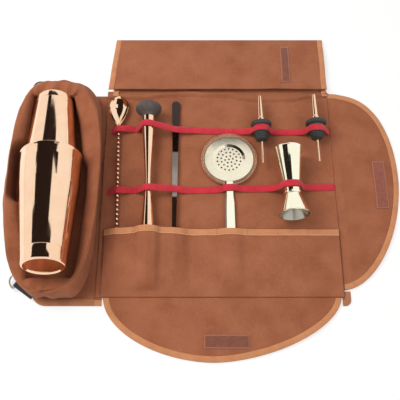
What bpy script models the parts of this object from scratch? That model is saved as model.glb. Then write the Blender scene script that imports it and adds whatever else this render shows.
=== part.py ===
"""Canvas bartender bag laid open with its tools in place.

Metres, +Z up. X runs along the bag, Y runs away from the front flap, and the bag lies on Z = 0.
The origin is on the underside of the tool panel. Tools lie with their tips towards +Y and their
lower ends in the pocket, so each tool is described by an axis that starts at its tip.
"""
import math

import bmesh
import bpy
from mathutils import Matrix, Vector

MM = 0.001
DEGREE = math.pi / 180
FULL_TURN = 2 * math.pi
SHARP_ANGLE = 35 * DEGREE

# Cloth and clearances
CLEARANCE = 0.3 * MM
SHELL_THICKNESS = 1.6 * MM
LINING_THICKNESS = 1.2 * MM
FLAP_THICKNESS = 2.0 * MM
POUCH_THICKNESS = 3.0 * MM
POCKET_THICKNESS = 2.0 * MM
BINDING_THICKNESS = 0.6 * MM
BINDING_WIDTH = 11.0 * MM
CUT_OVERRUN = 5.0 * MM

# Tool panel
CREASE_X = -152.0 * MM
PANEL_RIGHT_X = 208.0 * MM
PANEL_TOP_Y = 190.85 * MM
PANEL_FRONT_Y = -152.0 * MM
CORNER_FRONT_Y = -164.0 * MM
CORNER_LEFT_X = -141.0 * MM
CORNER_RIGHT_X = 217.0 * MM
CORNER_REAR_Y = -143.0 * MM
CORNER_RADIUS = 9.0 * MM
LINING_LEFT_X = -148.0 * MM

# Shaker side of the base
BASE_LEFT_X = -243.0 * MM
BASE_REAR_Y = 184.0 * MM
BASE_CORNER_RADIUS = 22.0 * MM
BASE_REAR_RADIUS = 8.0 * MM
BASE_TAPE_START_SHARE = 1.5
CORNER_STEPS = 6

# Cover flap, folded back on itself behind the tools
COVER_LEFT_X = -142.0 * MM
COVER_FOLD_Y = 293.0 * MM
COVER_FREE_Y = 192.5 * MM
COVER_FREE_LEFT_X = -150.0 * MM
COVER_RIGHT_X = 208.0 * MM
COVER_LAYER_GAP = 0.6 * MM
COVER_BINDING_WIDTH = 9.0 * MM

# Side flap and front flap, each a wide D
SIDE_FLAP_DEPTH = 99.5 * MM
SIDE_FLAP_REAR_Y = 187.0 * MM
SIDE_FLAP_FRONT_Y = -141.0 * MM
SIDE_FLAP_PEAK_Y = 40.0 * MM
SIDE_FLAP_REAR_POWER = 2.3
SIDE_FLAP_FRONT_POWER = 1.8
FRONT_FLAP_DEPTH = 90.5 * MM
FRONT_FLAP_LEFT_X = -139.0 * MM
FRONT_FLAP_RIGHT_X = 203.0 * MM
FRONT_FLAP_PEAK_X = 20.0 * MM
FRONT_FLAP_LEFT_POWER = 1.85
FRONT_FLAP_RIGHT_POWER = 1.7
FLAP_STEPS = 9

# Fastening patches: width, length, centre
PATCH_THICKNESS = 1.0 * MM
COVER_PATCH_SIZE = (14.5 * MM, 71.0 * MM)
COVER_PATCH_CENTRE = (142.0 * MM, 241.5 * MM)
SIDE_PATCH_SIZE = (19.0 * MM, 79.0 * MM)
SIDE_PATCH_CENTRE = (278.0 * MM, 24.0 * MM)
FRONT_PATCH_SIZE = (64.0 * MM, 19.0 * MM)
FRONT_PATCH_CENTRE = (37.5 * MM, -214.5 * MM)

# Tool pocket
POCKET_MOUTH_Y = -50.5 * MM
POCKET_SEAM_Y = -143.0 * MM
POCKET_DIVIDERS = [x * MM for x in (-143, -99, -61, -21, 25, 70.5, 116, 161, 207)]
POCKET_HEIGHTS = [z * MM for z in (13, 26, 12, 7, 9.5, 7, 7, 7)]
POCKET_ARCH_POWER = 0.75
POCKET_FALL_POWER = 5
POCKET_ACROSS_SHARES = (0, 0.07, 0.17, 0.32, 0.5, 0.68, 0.83, 0.93)
POCKET_DOWN_SHARES = (0, 0.14, 0.4, 0.65, 0.85, 1)

# Elastic bands
ELASTIC_WIDTH = 11.0 * MM
ELASTIC_THICKNESS = 0.9 * MM
ELASTIC_LEFT_X = -142.0 * MM
ELASTIC_RIGHT_X = 207.5 * MM
ELASTIC_JOINTS_X = (-54.0 * MM, -16.0 * MM)
UPPER_ELASTIC_LEFT_Y = 116.0 * MM
UPPER_ELASTIC_RIGHT_Y = 115.0 * MM
LOWER_ELASTIC_LEFT_Y = 11.0 * MM
LOWER_ELASTIC_RIGHT_Y = 20.0 * MM
ELASTIC_REACH_SHARE = 0.31
ELASTIC_ARC_STEPS = 12
POURER_DIP = 10.4 * MM
STRAINER_DIP = 2.5 * MM
JIGGER_DIP = 7.0 * MM

# Pouch round the shaker
POUCH_LEFT_X = -288.5 * MM
POUCH_RIGHT_X = -154.0 * MM
POUCH_FRONT_Y = -157.0 * MM
POUCH_REAR_Y = 189.0 * MM
POUCH_RIGHT_POWER = 4.5
POUCH_FRONT_LEFT_POWER = 2.4
POUCH_REAR_LEFT_POWER = 3.4
POUCH_FOOT_LEFT_INSET = 46.0 * MM
POUCH_FOOT_INSET = 8.0 * MM
POUCH_BULGE_HEIGHT = 30.0 * MM
POUCH_RIM_INSET = 6.0 * MM
POUCH_RIM_FRONT_Z = 32.0 * MM
POUCH_RIM_REAR_Z = 44.0 * MM
POUCH_RIM_MIDDLE_Z = 54.0 * MM
POUCH_HEM_RADIUS = 4.5 * MM
POUCH_STEPS = 44
POUCH_HEM_SIDES = 8

# Strap tabs and D-rings
TAB_WIDTH = 18.0 * MM
TAB_THICKNESS = 1.6 * MM
TAB_LENGTH = 30.0 * MM
TAB_EYE_RADIUS = 2.0 * MM
TAB_EYE_STEPS = 6
TAB_SHOULDER = 8.0 * MM
RING_WIRE_RADIUS = 1.5 * MM
RING_WIDTH = 27.0 * MM
RING_DEPTH = 17.0 * MM
RING_SIDES = 8
RING_ARC_STEPS = 12
RING_BAR_SHARES = (0.88, 0, -0.88)
FRONT_TAB_ROOT = (-237.0 * MM, -147.5 * MM)
REAR_TAB_ROOT = (-236.0 * MM, 178.5 * MM)
TAB_HEADING = 145 * DEGREE

# Shaker: stations run from the closed top of the small tin to the base of the large tin
SHAKER_TIP_X = -228.2 * MM
SHAKER_TIP_Y = 155.2 * MM
SHAKER_LEAN = 3.4 * DEGREE
SHAKER_FALL = -6.9 * DEGREE
TIN_WALL = 1.0 * MM
TIN_RECESS = 2.5 * MM
TIN_FOOT_WIDTH = 2.5 * MM
TIN_FOOT_ROUND = 3.0 * MM
TIN_BEAD = 0.8 * MM
TIN_BEAD_LENGTH = 3.5 * MM
SMALL_TIN_LENGTH = 137.0 * MM
SMALL_TIN_TOP_RADIUS = 29.0 * MM
SMALL_TIN_MOUTH_RADIUS = 41.0 * MM
LARGE_TIN_RIM_STATION = 107.0 * MM
LARGE_TIN_LENGTH = 176.0 * MM
LARGE_TIN_RIM_RADIUS = 46.0 * MM
LARGE_TIN_BASE_RADIUS = 31.0 * MM
TIN_STEPS = 32

# Bar spoon
SPOON_TIP_X = -131.0 * MM
SPOON_TIP_Y = 177.0 * MM
SPOON_LEAN = 1.6 * DEGREE
SPOON_LENGTH = 290.0 * MM
SPOON_SHAFT_RADIUS = 2.8 * MM
BOWL_LENGTH = 56.0 * MM
BOWL_WIDTH = 30.5 * MM
BOWL_DEPTH = 7.5 * MM
BOWL_WALL = 1.1 * MM
BOWL_WIDEST_SHARE = 0.36
BOWL_SWELL_POWER = 0.85
SHAFT_ROOT_SHARE = 0.88
BOWL_RING_SHARES = (0.3, 0.55, 0.78, 0.93, 1)
BOWL_STEPS = 24
SPOON_SIDES = 12

# Muddler: stations from the top of the head
MUDDLER_TIP_X = -81.6 * MM
MUDDLER_TIP_Y = 156.5 * MM
MUDDLER_LEAN = 1.0 * DEGREE
MUDDLER_HEAD_LENGTH = 33.0 * MM
MUDDLER_HEAD_RADIUS = 20.5 * MM
MUDDLER_HEAD_ROUND = 6.0 * MM
MUDDLER_LENGTH = 226.0 * MM
MUDDLER_NECK_RADIUS = 9.6 * MM
MUDDLER_NECK_LENGTH = 19.0 * MM
MUDDLER_HOLLOWING = 0.6 * MM
MUDDLER_WAIST_RADIUS = 5.0 * MM
MUDDLER_WAIST_STATION = 134.0 * MM
MUDDLER_END_RADIUS = 10.5 * MM
MUDDLER_END_STATION = 210.0 * MM
MUDDLER_STEPS = 24

# Tweezers: two arms, one over the other
TWEEZERS_X = -38.8 * MM
TWEEZERS_TIP_Y = 170.5 * MM
TWEEZERS_LENGTH = 250.0 * MM
TWEEZERS_HEAD_WIDTH = 13.6 * MM
TWEEZERS_SHOULDER_WIDTH = 10.2 * MM
TWEEZERS_POINT_WIDTH = 5.0 * MM
TWEEZERS_HEAD_LENGTH = 46.0 * MM
TWEEZERS_ARM_THICKNESS = 1.5 * MM
TWEEZERS_SPREAD = 1.3 * DEGREE
TWEEZERS_ROUND_STEPS = 6
TWEEZERS_ROOM = 1.0 * MM

# Strainer
STRAINER_X = 45.3 * MM
STRAINER_Y = 66.0 * MM
STRAINER_LIFT = 1.3 * MM
PLATE_RADIUS = 38.0 * MM
PLATE_THICKNESS = 1.0 * MM
PLATE_LIP = 1.4 * MM
WELL_TOP_RADIUS = 25.5 * MM
WELL_FLOOR_RADIUS = 22.0 * MM
WELL_DEPTH = 2.2 * MM
HOLE_RADIUS = 1.45 * MM
HOLE_PITCH = 6.1 * MM
HOLE_RINGS = 3
HOLE_SIDES = 8
HOLE_STAGGER = 10 * DEGREE
PLATE_STEPS = 48
SPRING_CURLS = 56
SPRING_POINTS_PER_CURL = 8
SPRING_WIRE_RADIUS = 0.5 * MM
SPRING_RADIUS = 2.8 * MM
SPRING_RING_RADIUS = 41.7 * MM
SPRING_END_GAP = 10.0 * DEGREE
NECK_WIDTH = 11.5 * MM
NECK_THICKNESS = 1.4 * MM
NECK_LENGTH = 27.0 * MM
SHOULDER_LENGTH = 8.0 * MM
HANDLE_TOP_WIDTH = 14.0 * MM
HANDLE_END_WIDTH = 16.0 * MM
HANDLE_THICKNESS = 2.4 * MM
HANDLE_LENGTH = 80.0 * MM
HANDLE_ROUND_STEPS = 6

# Pourers: stations from the spout's tip
POURER_TIPS = [(95.8 * MM, 171.6 * MM), (182.5 * MM, 174.4 * MM)]
POURER_LEAN = 0.6 * DEGREE
SPOUT_LENGTH = 46.0 * MM
SPOUT_TIP_RADIUS = 2.9 * MM
SPOUT_BASE_RADIUS = 4.8 * MM
SPOUT_WALL = 0.8 * MM
SPOUT_COLLAR_RADIUS = 6.0 * MM
SPOUT_COLLAR_LENGTH = 3.0 * MM
CORK_FLANGE_RADIUS = 16.5 * MM
CORK_FLANGE_LENGTH = 9.0 * MM
CORK_BODY_RADIUS = 11.5 * MM
CORK_END_RADIUS = 9.0 * MM
CORK_BODY_LENGTH = 23.5 * MM
CORK_RIB_HEIGHT = 1.2 * MM
CORK_RIBS = 4
CORK_RIB_SHARES = (0.3, 0.7)
BREATHER_RADIUS = 1.75 * MM
BREATHER_LENGTH = 39.5 * MM
BREATHER_BORE_RADIUS = 0.9 * MM
POURER_STEPS = 18

# Jigger: stations from the rim of the long cup
JIGGER_TIP_X = 135.8 * MM
JIGGER_TIP_Y = 74.5 * MM
JIGGER_LEAN = 1.7 * DEGREE
LONG_CUP_LENGTH = 74.5 * MM
SHORT_CUP_LENGTH = 34.5 * MM
LONG_CUP_RADIUS = 22.0 * MM
SHORT_CUP_RADIUS = 24.0 * MM
JIGGER_WAIST_RADIUS = 11.5 * MM
JIGGER_WALL = 0.9 * MM
JIGGER_FLOOR = 1.6 * MM
JIGGER_LIP = 0.8 * MM
WAIST_BAND_LENGTH = 3.6 * MM
WAIST_BAND_THICKNESS = 1.0 * MM
JIGGER_STEPS = 28

# Heights that follow from the cloth
LINING_BASE_Z = SHELL_THICKNESS + CLEARANCE
LINING_TOP_Z = LINING_BASE_Z + LINING_THICKNESS
TOOL_REST_Z = LINING_TOP_Z + CLEARANCE
HINGE_Z = LINING_TOP_Z + CLEARANCE

# Colour, roughness, metallic
FINISHES = {
    "canvas": ((0.40, 0.155, 0.078), 0.85, 0.0),
    "binding": ((0.58, 0.26, 0.11), 0.8, 0.0),
    "elastic": ((0.65, 0.03, 0.055), 0.7, 0.0),
    "patch": ((0.24, 0.085, 0.06), 0.95, 0.0),
    "webbing": ((0.03, 0.03, 0.033), 0.85, 0.0),
    "steel": ((0.75, 0.75, 0.76), 0.2, 1.0),
    "copper": ((0.90, 0.55, 0.40), 0.1, 1.0),
    "rubber": ((0.035, 0.037, 0.037), 0.6, 0.0),
}


def clear_scene():
    for item in list(bpy.data.objects):
        bpy.data.objects.remove(item, do_unlink=True)


def make_material(name, finish):
    colour, roughness, metallic = FINISHES[finish]
    material = bpy.data.materials.new(name)
    material.use_nodes = True
    shader = material.node_tree.nodes["Principled BSDF"]
    shader.inputs["Base Color"].default_value = (*colour, 1)
    shader.inputs["Roughness"].default_value = roughness
    shader.inputs["Metallic"].default_value = metallic
    return material


def add_object(name, mesh_source, finish, smooth=False):
    """Turns a bmesh into a named object with outward faces and its own material."""
    bmesh.ops.recalc_face_normals(mesh_source, faces=mesh_source.faces)
    mesh = bpy.data.meshes.new(name)
    mesh_source.to_mesh(mesh)
    mesh_source.free()
    if smooth:
        mesh.shade_smooth()
        mesh.set_sharp_from_angle(angle=SHARP_ANGLE)
    item = bpy.data.objects.new(name, mesh)
    item.data.materials.append(make_material(name, finish))
    bpy.context.scene.collection.objects.link(item)
    return item


def add_cutter(name, mesh_source):
    """A guide solid that another solid is cut or joined with."""
    item = add_object(name, mesh_source, "steel")
    item.hide_render = True
    item.display_type = "WIRE"
    return item


def combine(item, cutter, operation):
    modifier = item.modifiers.new(operation.title(), "BOOLEAN")
    modifier.operation = operation
    modifier.solver = "EXACT"
    modifier.object = cutter


def pivot(name, place, carried):
    """An empty on a joint's axis, with the pieces that move about it as its children."""
    empty = bpy.data.objects.new(name, None)
    empty.location = place
    bpy.context.scene.collection.objects.link(empty)
    inverse = Matrix.Translation(place).inverted()
    for item in carried:
        item.parent = empty
        item.matrix_parent_inverse = inverse
    return empty


def loft(rings, closed=False):
    """A solid skin over rings of equal point counts, joined end to end or capped."""
    skin = bmesh.new()
    rows = [[skin.verts.new(point) for point in ring] for ring in rings]
    count = len(rows[0])
    pairs = list(zip(rows, rows[1:]))
    if closed:
        pairs.append((rows[-1], rows[0]))
    for near, far in pairs:
        for index in range(count):
            after = (index + 1) % count
            skin.faces.new((near[index], near[after], far[after], far[index]))
    if not closed:
        skin.faces.new(rows[0])
        skin.faces.new(rows[-1])
    return skin


def slab(outline, low, high):
    """A flat plate from an outline of (x, y) points."""
    return loft([[(x, y, low) for x, y in outline], [(x, y, high) for x, y in outline]])


def box(centre, size, low, high):
    half_width = size[0] / 2
    half_length = size[1] / 2
    corners = ((-1, -1), (1, -1), (1, 1), (-1, 1))
    return slab([(centre[0] + a * half_width, centre[1] + b * half_length) for a, b in corners], low, high)


def turned(profile, place, steps):
    """A solid of revolution. The profile is (station, radius) points, and place maps Z to the axis."""
    skin = bmesh.new()
    verts = [skin.verts.new((radius, 0, station)) for station, radius in profile]
    edges = [skin.edges.new(pair) for pair in zip(verts, verts[1:])]
    if profile[0][1] > 0:
        edges.append(skin.edges.new((verts[-1], verts[0])))
    bmesh.ops.spin(
        skin, geom=verts + edges, axis=(0, 0, 1), cent=(0, 0, 0), angle=FULL_TURN, steps=steps,
        use_merge=True, use_duplicate=False,
    )
    bmesh.ops.remove_doubles(skin, verts=skin.verts, dist=CLEARANCE / 100)
    bmesh.ops.transform(skin, matrix=place, verts=skin.verts)
    return skin


def tube(path, radius, sides, across):
    """A closed tube along a flat loop whose plane has the normal across."""
    rings = []
    count = len(path)
    for index, point in enumerate(path):
        run = (path[(index + 1) % count] - path[index - 1]).normalized()
        out = run.cross(across).normalized()
        angles = [FULL_TURN * step / sides for step in range(sides)]
        rings.append([point + out * radius * math.cos(a) + across * radius * math.sin(a) for a in angles])
    return loft(rings, closed=True)


def offset_path(points, distance, end_ways=None):
    """An open path in a plane moved to its left by a distance, with mitred corners.

    End ways are the directions that the first and last points move in, where they differ."""
    moved = []
    last = len(points) - 1
    for index, (x, y) in enumerate(points):
        normals = []
        for a, b in ((index - 1, index), (index, index + 1)):
            if a >= 0 and b <= last:
                dx = points[b][0] - points[a][0]
                dy = points[b][1] - points[a][1]
                length = math.hypot(dx, dy)
                normals.append((-dy / length, dx / length))
        nx = sum(n[0] for n in normals) / len(normals)
        ny = sum(n[1] for n in normals) / len(normals)
        scale = distance / (nx * nx + ny * ny)
        moved.append((x + nx * scale, y + ny * scale))
    if end_ways:
        for end, (way_x, way_y) in zip((0, last), end_ways):
            moved[end] = (points[end][0] + way_x * distance, points[end][1] + way_y * distance)
    return moved


def edge_binding(path, low, top, width, end_ways=None):
    """Tape folded over a cloth edge: a lip on the top face and a leaf down the outer edge.

    The path is the outermost line of the tape, and the cloth lies to its left."""
    lip = top + CLEARANCE
    thickness = BINDING_THICKNESS
    section = [
        (0, low),
        (thickness, low),
        (thickness, lip),
        (width, lip),
        (width, lip + thickness),
        (0, lip + thickness),
    ]
    lines = [offset_path(path, inward, end_ways) for inward, height in section]
    return loft([
        [(*lines[corner][index], section[corner][1]) for corner in range(len(section))]
        for index in range(len(path))
    ])


def quarter_arc(centre, radius, start):
    angles = [start + 90 * DEGREE * step / CORNER_STEPS for step in range(CORNER_STEPS + 1)]
    return [(centre[0] + radius * math.cos(a), centre[1] + radius * math.sin(a)) for a in angles]


def half_superellipse(width_before, width_after, depth, power_before, power_after, steps):
    """Points (along, out) of a D's curve, from one end of its straight side to the other."""
    points = []
    for step in range(2 * steps + 1):
        angle = math.pi * (1 - step / (2 * steps))
        across = math.cos(angle)
        width = width_before if across < 0 else width_after
        power = power_before if across < 0 else power_after
        along = math.copysign(abs(across) ** (2 / power), across) * width
        out = abs(math.sin(angle)) ** (2 / power) * depth
        points.append((along, out))
    return points


class ToolAxis:
    """The straight axis of a tool: its tip, its lean in plan and its fall towards the pocket."""

    def __init__(self, tip, lean, fall):
        self.tip = Vector(tip)
        flat = math.cos(fall)
        self.run = Vector((math.sin(lean) * flat, -math.cos(lean) * flat, -math.sin(fall)))

    def at(self, station):
        return self.tip + self.run * station

    def station_at(self, y):
        return (y - self.tip.y) / self.run.y

    def placing(self):
        return Matrix.Translation(self.tip) @ self.run.to_track_quat("Z", "Y").to_matrix().to_4x4()


def radius_at(profile, station):
    """The largest radius of a profile at a station along its axis."""
    found = 0
    for (s0, r0), (s1, r1) in zip(profile, profile[1:]):
        if min(s0, s1) <= station <= max(s0, s1) and s0 != s1:
            found = max(found, r0 + (r1 - r0) * (station - s0) / (s1 - s0))
    return found


def build_shaker_side():
    """The base under the shaker pouch, with its taped front edge."""
    right = CREASE_X - CLEARANCE / 2
    tape = BINDING_THICKNESS + CLEARANCE
    front_edge = CORNER_FRONT_Y + tape
    radius = BASE_CORNER_RADIUS
    front_centre = (BASE_LEFT_X + radius, CORNER_FRONT_Y + radius)
    front_arc = quarter_arc(front_centre, radius - tape, 180 * DEGREE)
    rear_centre = (BASE_LEFT_X + BASE_REAR_RADIUS, BASE_REAR_Y - BASE_REAR_RADIUS)
    rear_arc = quarter_arc(rear_centre, BASE_REAR_RADIUS - tape, 90 * DEGREE)
    outline = [(right, front_edge), (right, BASE_REAR_Y - tape), *rear_arc, *front_arc]
    add_object("shaker_side_shell", slab(outline, 0, SHELL_THICKNESS), "canvas")

    outer_arc = quarter_arc(front_centre, radius, 180 * DEGREE)
    tape_start = (BASE_LEFT_X, CORNER_FRONT_Y + BASE_TAPE_START_SHARE * radius)
    path = [tape_start, *outer_arc, (right, CORNER_FRONT_Y)]
    add_object("shaker_side_binding", edge_binding(path, 0, SHELL_THICKNESS, BINDING_WIDTH), "binding")


def build_tool_side():
    """The tool panel: outer shell, lining and the taped corners beside the front flap."""
    left = CREASE_X + CLEARANCE / 2
    tape = BINDING_THICKNESS + CLEARANCE
    corner_centre = (CORNER_RIGHT_X - CORNER_RADIUS, CORNER_FRONT_Y + CORNER_RADIUS)
    inner_arc = quarter_arc(corner_centre, CORNER_RADIUS - tape, 270 * DEGREE)
    outline = [
        (left, CORNER_FRONT_Y + tape),
        (CORNER_LEFT_X, CORNER_FRONT_Y + tape),
        (CORNER_LEFT_X, PANEL_FRONT_Y),
        (FRONT_FLAP_RIGHT_X + 2 * tape, PANEL_FRONT_Y),
        (FRONT_FLAP_RIGHT_X + 2 * tape, CORNER_FRONT_Y + tape),
        *inner_arc,
        (CORNER_RIGHT_X - tape, CORNER_REAR_Y),
        (PANEL_RIGHT_X, CORNER_REAR_Y),
        (PANEL_RIGHT_X, PANEL_TOP_Y),
        (left, PANEL_TOP_Y),
    ]
    add_object("tool_side_shell", slab(outline, 0, SHELL_THICKNESS), "canvas")

    lining = [
        (LINING_LEFT_X, PANEL_FRONT_Y),
        (PANEL_RIGHT_X, PANEL_FRONT_Y),
        (PANEL_RIGHT_X, PANEL_TOP_Y),
        (LINING_LEFT_X, PANEL_TOP_Y),
    ]
    add_object("tool_lining", slab(lining, LINING_BASE_Z, LINING_TOP_Z), "canvas")

    outer_arc = quarter_arc(corner_centre, CORNER_RADIUS, 270 * DEGREE)
    right_start = (FRONT_FLAP_RIGHT_X + 2 * tape, CORNER_FRONT_Y)
    right_path = [right_start, *outer_arc, (CORNER_RIGHT_X, CORNER_REAR_Y)]
    left_path = [(left, CORNER_FRONT_Y), (CORNER_LEFT_X, CORNER_FRONT_Y)]
    width = min(BINDING_WIDTH, PANEL_FRONT_Y - CORNER_FRONT_Y - CLEARANCE, CORNER_RADIUS - CLEARANCE)
    for name, path in (("corner_binding_left", left_path), ("corner_binding_right", right_path)):
        add_object(name, edge_binding(path, 0, SHELL_THICKNESS, width), "binding")


def arch_height(x):
    """Inner height of the pocket's compartments along X at the mouth, above the lining."""
    for left, right, height in zip(POCKET_DIVIDERS, POCKET_DIVIDERS[1:], POCKET_HEIGHTS):
        if left <= x <= right:
            share = (x - left) / (right - left)
            return height * max(math.sin(math.pi * share), 0) ** POCKET_ARCH_POWER
    return 0


def pocket_stations():
    stations = []
    for left, right in zip(POCKET_DIVIDERS, POCKET_DIVIDERS[1:]):
        stations += [left + (right - left) * share for share in POCKET_ACROSS_SHARES]
    return stations + [POCKET_DIVIDERS[-1]]


def build_pocket():
    """One cloth stitched down between the compartments, with tape along its mouth."""
    depth = POCKET_MOUTH_Y - POCKET_SEAM_Y
    under = LINING_TOP_Z + CLEARANCE
    rings = []
    tape_rings = []
    for x in pocket_stations():
        height = arch_height(x)
        low = []
        high = []
        for share in POCKET_DOWN_SHARES:
            y = POCKET_MOUTH_Y - depth * share
            z = under + height * (1 - share ** POCKET_FALL_POWER)
            low.append((x, y, z))
            high.append((x, y, z + POCKET_THICKNESS))
        rings.append(low + high[::-1])

        inner = POCKET_MOUTH_Y + CLEARANCE
        outer = inner + BINDING_THICKNESS
        back = POCKET_MOUTH_Y - BINDING_WIDTH
        base = under + height
        lip = base + POCKET_THICKNESS + CLEARANCE
        top = lip + BINDING_THICKNESS
        section = ((back, lip), (inner, lip), (inner, base), (outer, base), (outer, top), (back, top))
        tape_rings.append([(x, y, z) for y, z in section])
    add_object("tool_pocket", loft(rings), "canvas")
    add_object("pocket_binding", loft(tape_rings), "binding")


def build_flap(name, outer, end_ways, patch_name, patch_centre, patch_size):
    """A D-shaped flap with tape round its curve and a fastening patch on its inner face.

    The curve runs anticlockwise round the flap, so its cloth lies to the left."""
    cloth = offset_path(outer, BINDING_THICKNESS + CLEARANCE, end_ways)
    skin = edge_binding(outer, 0, FLAP_THICKNESS, BINDING_WIDTH, end_ways)
    patch_low = FLAP_THICKNESS + CLEARANCE
    patch = box(patch_centre, patch_size, patch_low, patch_low + PATCH_THICKNESS)
    return [
        add_object(name, slab(cloth, 0, FLAP_THICKNESS), "canvas"),
        add_object(name + "_binding", skin, "binding"),
        add_object(patch_name, patch, "patch"),
    ]


def build_side_flap():
    line = PANEL_RIGHT_X + CLEARANCE
    curve = half_superellipse(
        SIDE_FLAP_PEAK_Y - SIDE_FLAP_FRONT_Y, SIDE_FLAP_REAR_Y - SIDE_FLAP_PEAK_Y, SIDE_FLAP_DEPTH,
        SIDE_FLAP_FRONT_POWER, SIDE_FLAP_REAR_POWER, FLAP_STEPS,
    )
    outer = [(line + out, SIDE_FLAP_PEAK_Y + along) for along, out in curve]
    end_ways = ((0, 1), (0, -1))
    patch = ("side_hook_patch", SIDE_PATCH_CENTRE, SIDE_PATCH_SIZE)
    pieces = build_flap("side_flap", outer, end_ways, *patch)
    pivot("side_flap_pivot", (line - CLEARANCE / 2, SIDE_FLAP_PEAK_Y, HINGE_Z), pieces)


def build_front_flap():
    line = PANEL_FRONT_Y - CLEARANCE
    curve = half_superellipse(
        FRONT_FLAP_PEAK_X - FRONT_FLAP_LEFT_X, FRONT_FLAP_RIGHT_X - FRONT_FLAP_PEAK_X, FRONT_FLAP_DEPTH,
        FRONT_FLAP_LEFT_POWER, FRONT_FLAP_RIGHT_POWER, FLAP_STEPS,
    )
    outer = [(FRONT_FLAP_PEAK_X + along, line - out) for along, out in curve]
    end_ways = ((1, 0), (-1, 0))
    patch = ("front_hook_patch", FRONT_PATCH_CENTRE, FRONT_PATCH_SIZE)
    pieces = build_flap("front_flap", outer, end_ways, *patch)
    pivot("front_flap_pivot", (FRONT_FLAP_PEAK_X, line + CLEARANCE / 2, HINGE_Z), pieces)


def build_cover_flap():
    """The long rear flap: a first panel from the hinge, and a second one folded back over it."""
    hinge = PANEL_TOP_Y + CLEARANCE
    tape = BINDING_THICKNESS + CLEARANCE
    width = COVER_BINDING_WIDTH
    lip_top = FLAP_THICKNESS + tape
    first = [
        (COVER_LEFT_X + tape, hinge),
        (COVER_RIGHT_X - tape, hinge),
        (COVER_RIGHT_X - tape, COVER_FOLD_Y),
        (COVER_LEFT_X + tape, COVER_FOLD_Y),
    ]
    first_pieces = [add_object("cover_first_panel", slab(first, 0, FLAP_THICKNESS), "canvas")]
    edges = {
        "left": [(COVER_LEFT_X, COVER_FOLD_Y), (COVER_LEFT_X, hinge)],
        "right": [(COVER_RIGHT_X, hinge), (COVER_RIGHT_X, COVER_FOLD_Y)],
    }
    for side, path in edges.items():
        skin = edge_binding(path, 0, FLAP_THICKNESS, width)
        first_pieces.append(add_object("cover_first_binding_" + side, skin, "binding"))

    low = lip_top + COVER_LAYER_GAP
    top = low + FLAP_THICKNESS
    second = [
        (COVER_FREE_LEFT_X + tape, COVER_FREE_Y),
        (COVER_RIGHT_X - tape, COVER_FREE_Y),
        (COVER_RIGHT_X - tape, COVER_FOLD_Y),
        (COVER_LEFT_X + tape, COVER_FOLD_Y),
    ]
    second_pieces = [add_object("cover_second_panel", slab(second, low, top), "canvas")]
    left_edge = [(COVER_LEFT_X, COVER_FOLD_Y), (COVER_FREE_LEFT_X, COVER_FREE_Y)]
    right_edge = [(COVER_RIGHT_X, COVER_FREE_Y), (COVER_RIGHT_X, COVER_FOLD_Y)]
    for side, path in (("left", left_edge), ("right", right_edge)):
        skin = edge_binding(path, low, top, width)
        second_pieces.append(add_object("cover_second_binding_" + side, skin, "binding"))
    patch = box(COVER_PATCH_CENTRE, COVER_PATCH_SIZE, top + CLEARANCE, top + CLEARANCE + PATCH_THICKNESS)
    second_pieces.append(add_object("cover_loop_patch", patch, "patch"))

    middle_x = (COVER_LEFT_X + COVER_RIGHT_X) / 2
    crease = (middle_x, COVER_FOLD_Y + CLEARANCE, lip_top + COVER_LAYER_GAP / 2)
    fold = pivot("cover_fold_pivot", crease, second_pieces)
    pivot("cover_flap_pivot", (middle_x, hinge - CLEARANCE / 2, HINGE_Z), [*first_pieces, fold])


def pouch_point(angle, inset, left_inset):
    """A point of the pouch's outline in plan, drawn in by an inset that may differ on the left."""
    across = math.cos(angle)
    along = math.sin(angle)
    if across >= 0:
        power = POUCH_RIGHT_POWER
    else:
        power = POUCH_REAR_LEFT_POWER if along >= 0 else POUCH_FRONT_LEFT_POWER
    left = POUCH_LEFT_X + left_inset
    right = POUCH_RIGHT_X - inset
    front = POUCH_FRONT_Y + inset
    rear = POUCH_REAR_Y - inset
    x = math.copysign(abs(across) ** (2 / power), across) * (right - left) / 2
    y = math.copysign(abs(along) ** (2 / power), along) * (rear - front) / 2
    return (left + right) / 2 + x, (front + rear) / 2 + y


def pouch_rim_height(y):
    """The rim is lowest under the shaker's base and highest beside its middle."""
    span = POUCH_REAR_Y - POUCH_FRONT_Y
    share = (y - POUCH_FRONT_Y) / span
    ends = POUCH_RIM_FRONT_Z + (POUCH_RIM_REAR_Z - POUCH_RIM_FRONT_Z) * share
    arch = POUCH_RIM_MIDDLE_Z - (POUCH_RIM_FRONT_Z + POUCH_RIM_REAR_Z) / 2
    return ends + arch * math.sin(math.pi * min(max(share, 0), 1))


def build_pouch():
    """The open-topped cloth pouch and the rolled hem round its mouth."""
    wall = POUCH_THICKNESS
    foot = SHELL_THICKNESS + CLEARANCE
    rings = []
    hem_path = []
    for step in range(POUCH_STEPS):
        angle = FULL_TURN * step / POUCH_STEPS
        rim_x, rim_y = pouch_point(angle, POUCH_RIM_INSET, POUCH_RIM_INSET)
        rim = pouch_rim_height(rim_y)
        section = (
            (POUCH_FOOT_INSET, POUCH_FOOT_LEFT_INSET, foot),
            (0, 0, POUCH_BULGE_HEIGHT),
            (POUCH_RIM_INSET - wall / 2, POUCH_RIM_INSET - wall / 2, rim),
            (POUCH_RIM_INSET + wall / 2, POUCH_RIM_INSET + wall / 2, rim),
            (wall, wall, POUCH_BULGE_HEIGHT),
            (POUCH_FOOT_INSET + wall, POUCH_FOOT_LEFT_INSET + wall, foot),
        )
        rings.append([(*pouch_point(angle, inset, left), z) for inset, left, z in section])
        hem_path.append(Vector((rim_x, rim_y, rim + CLEARANCE + POUCH_HEM_RADIUS)))
    add_object("pouch_wall", loft(rings, closed=True), "canvas", smooth=True)
    hem_skin = tube(hem_path, POUCH_HEM_RADIUS, POUCH_HEM_SIDES, Vector((0, 0, 1)))
    add_object("pouch_hem", hem_skin, "canvas", smooth=True)


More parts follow.
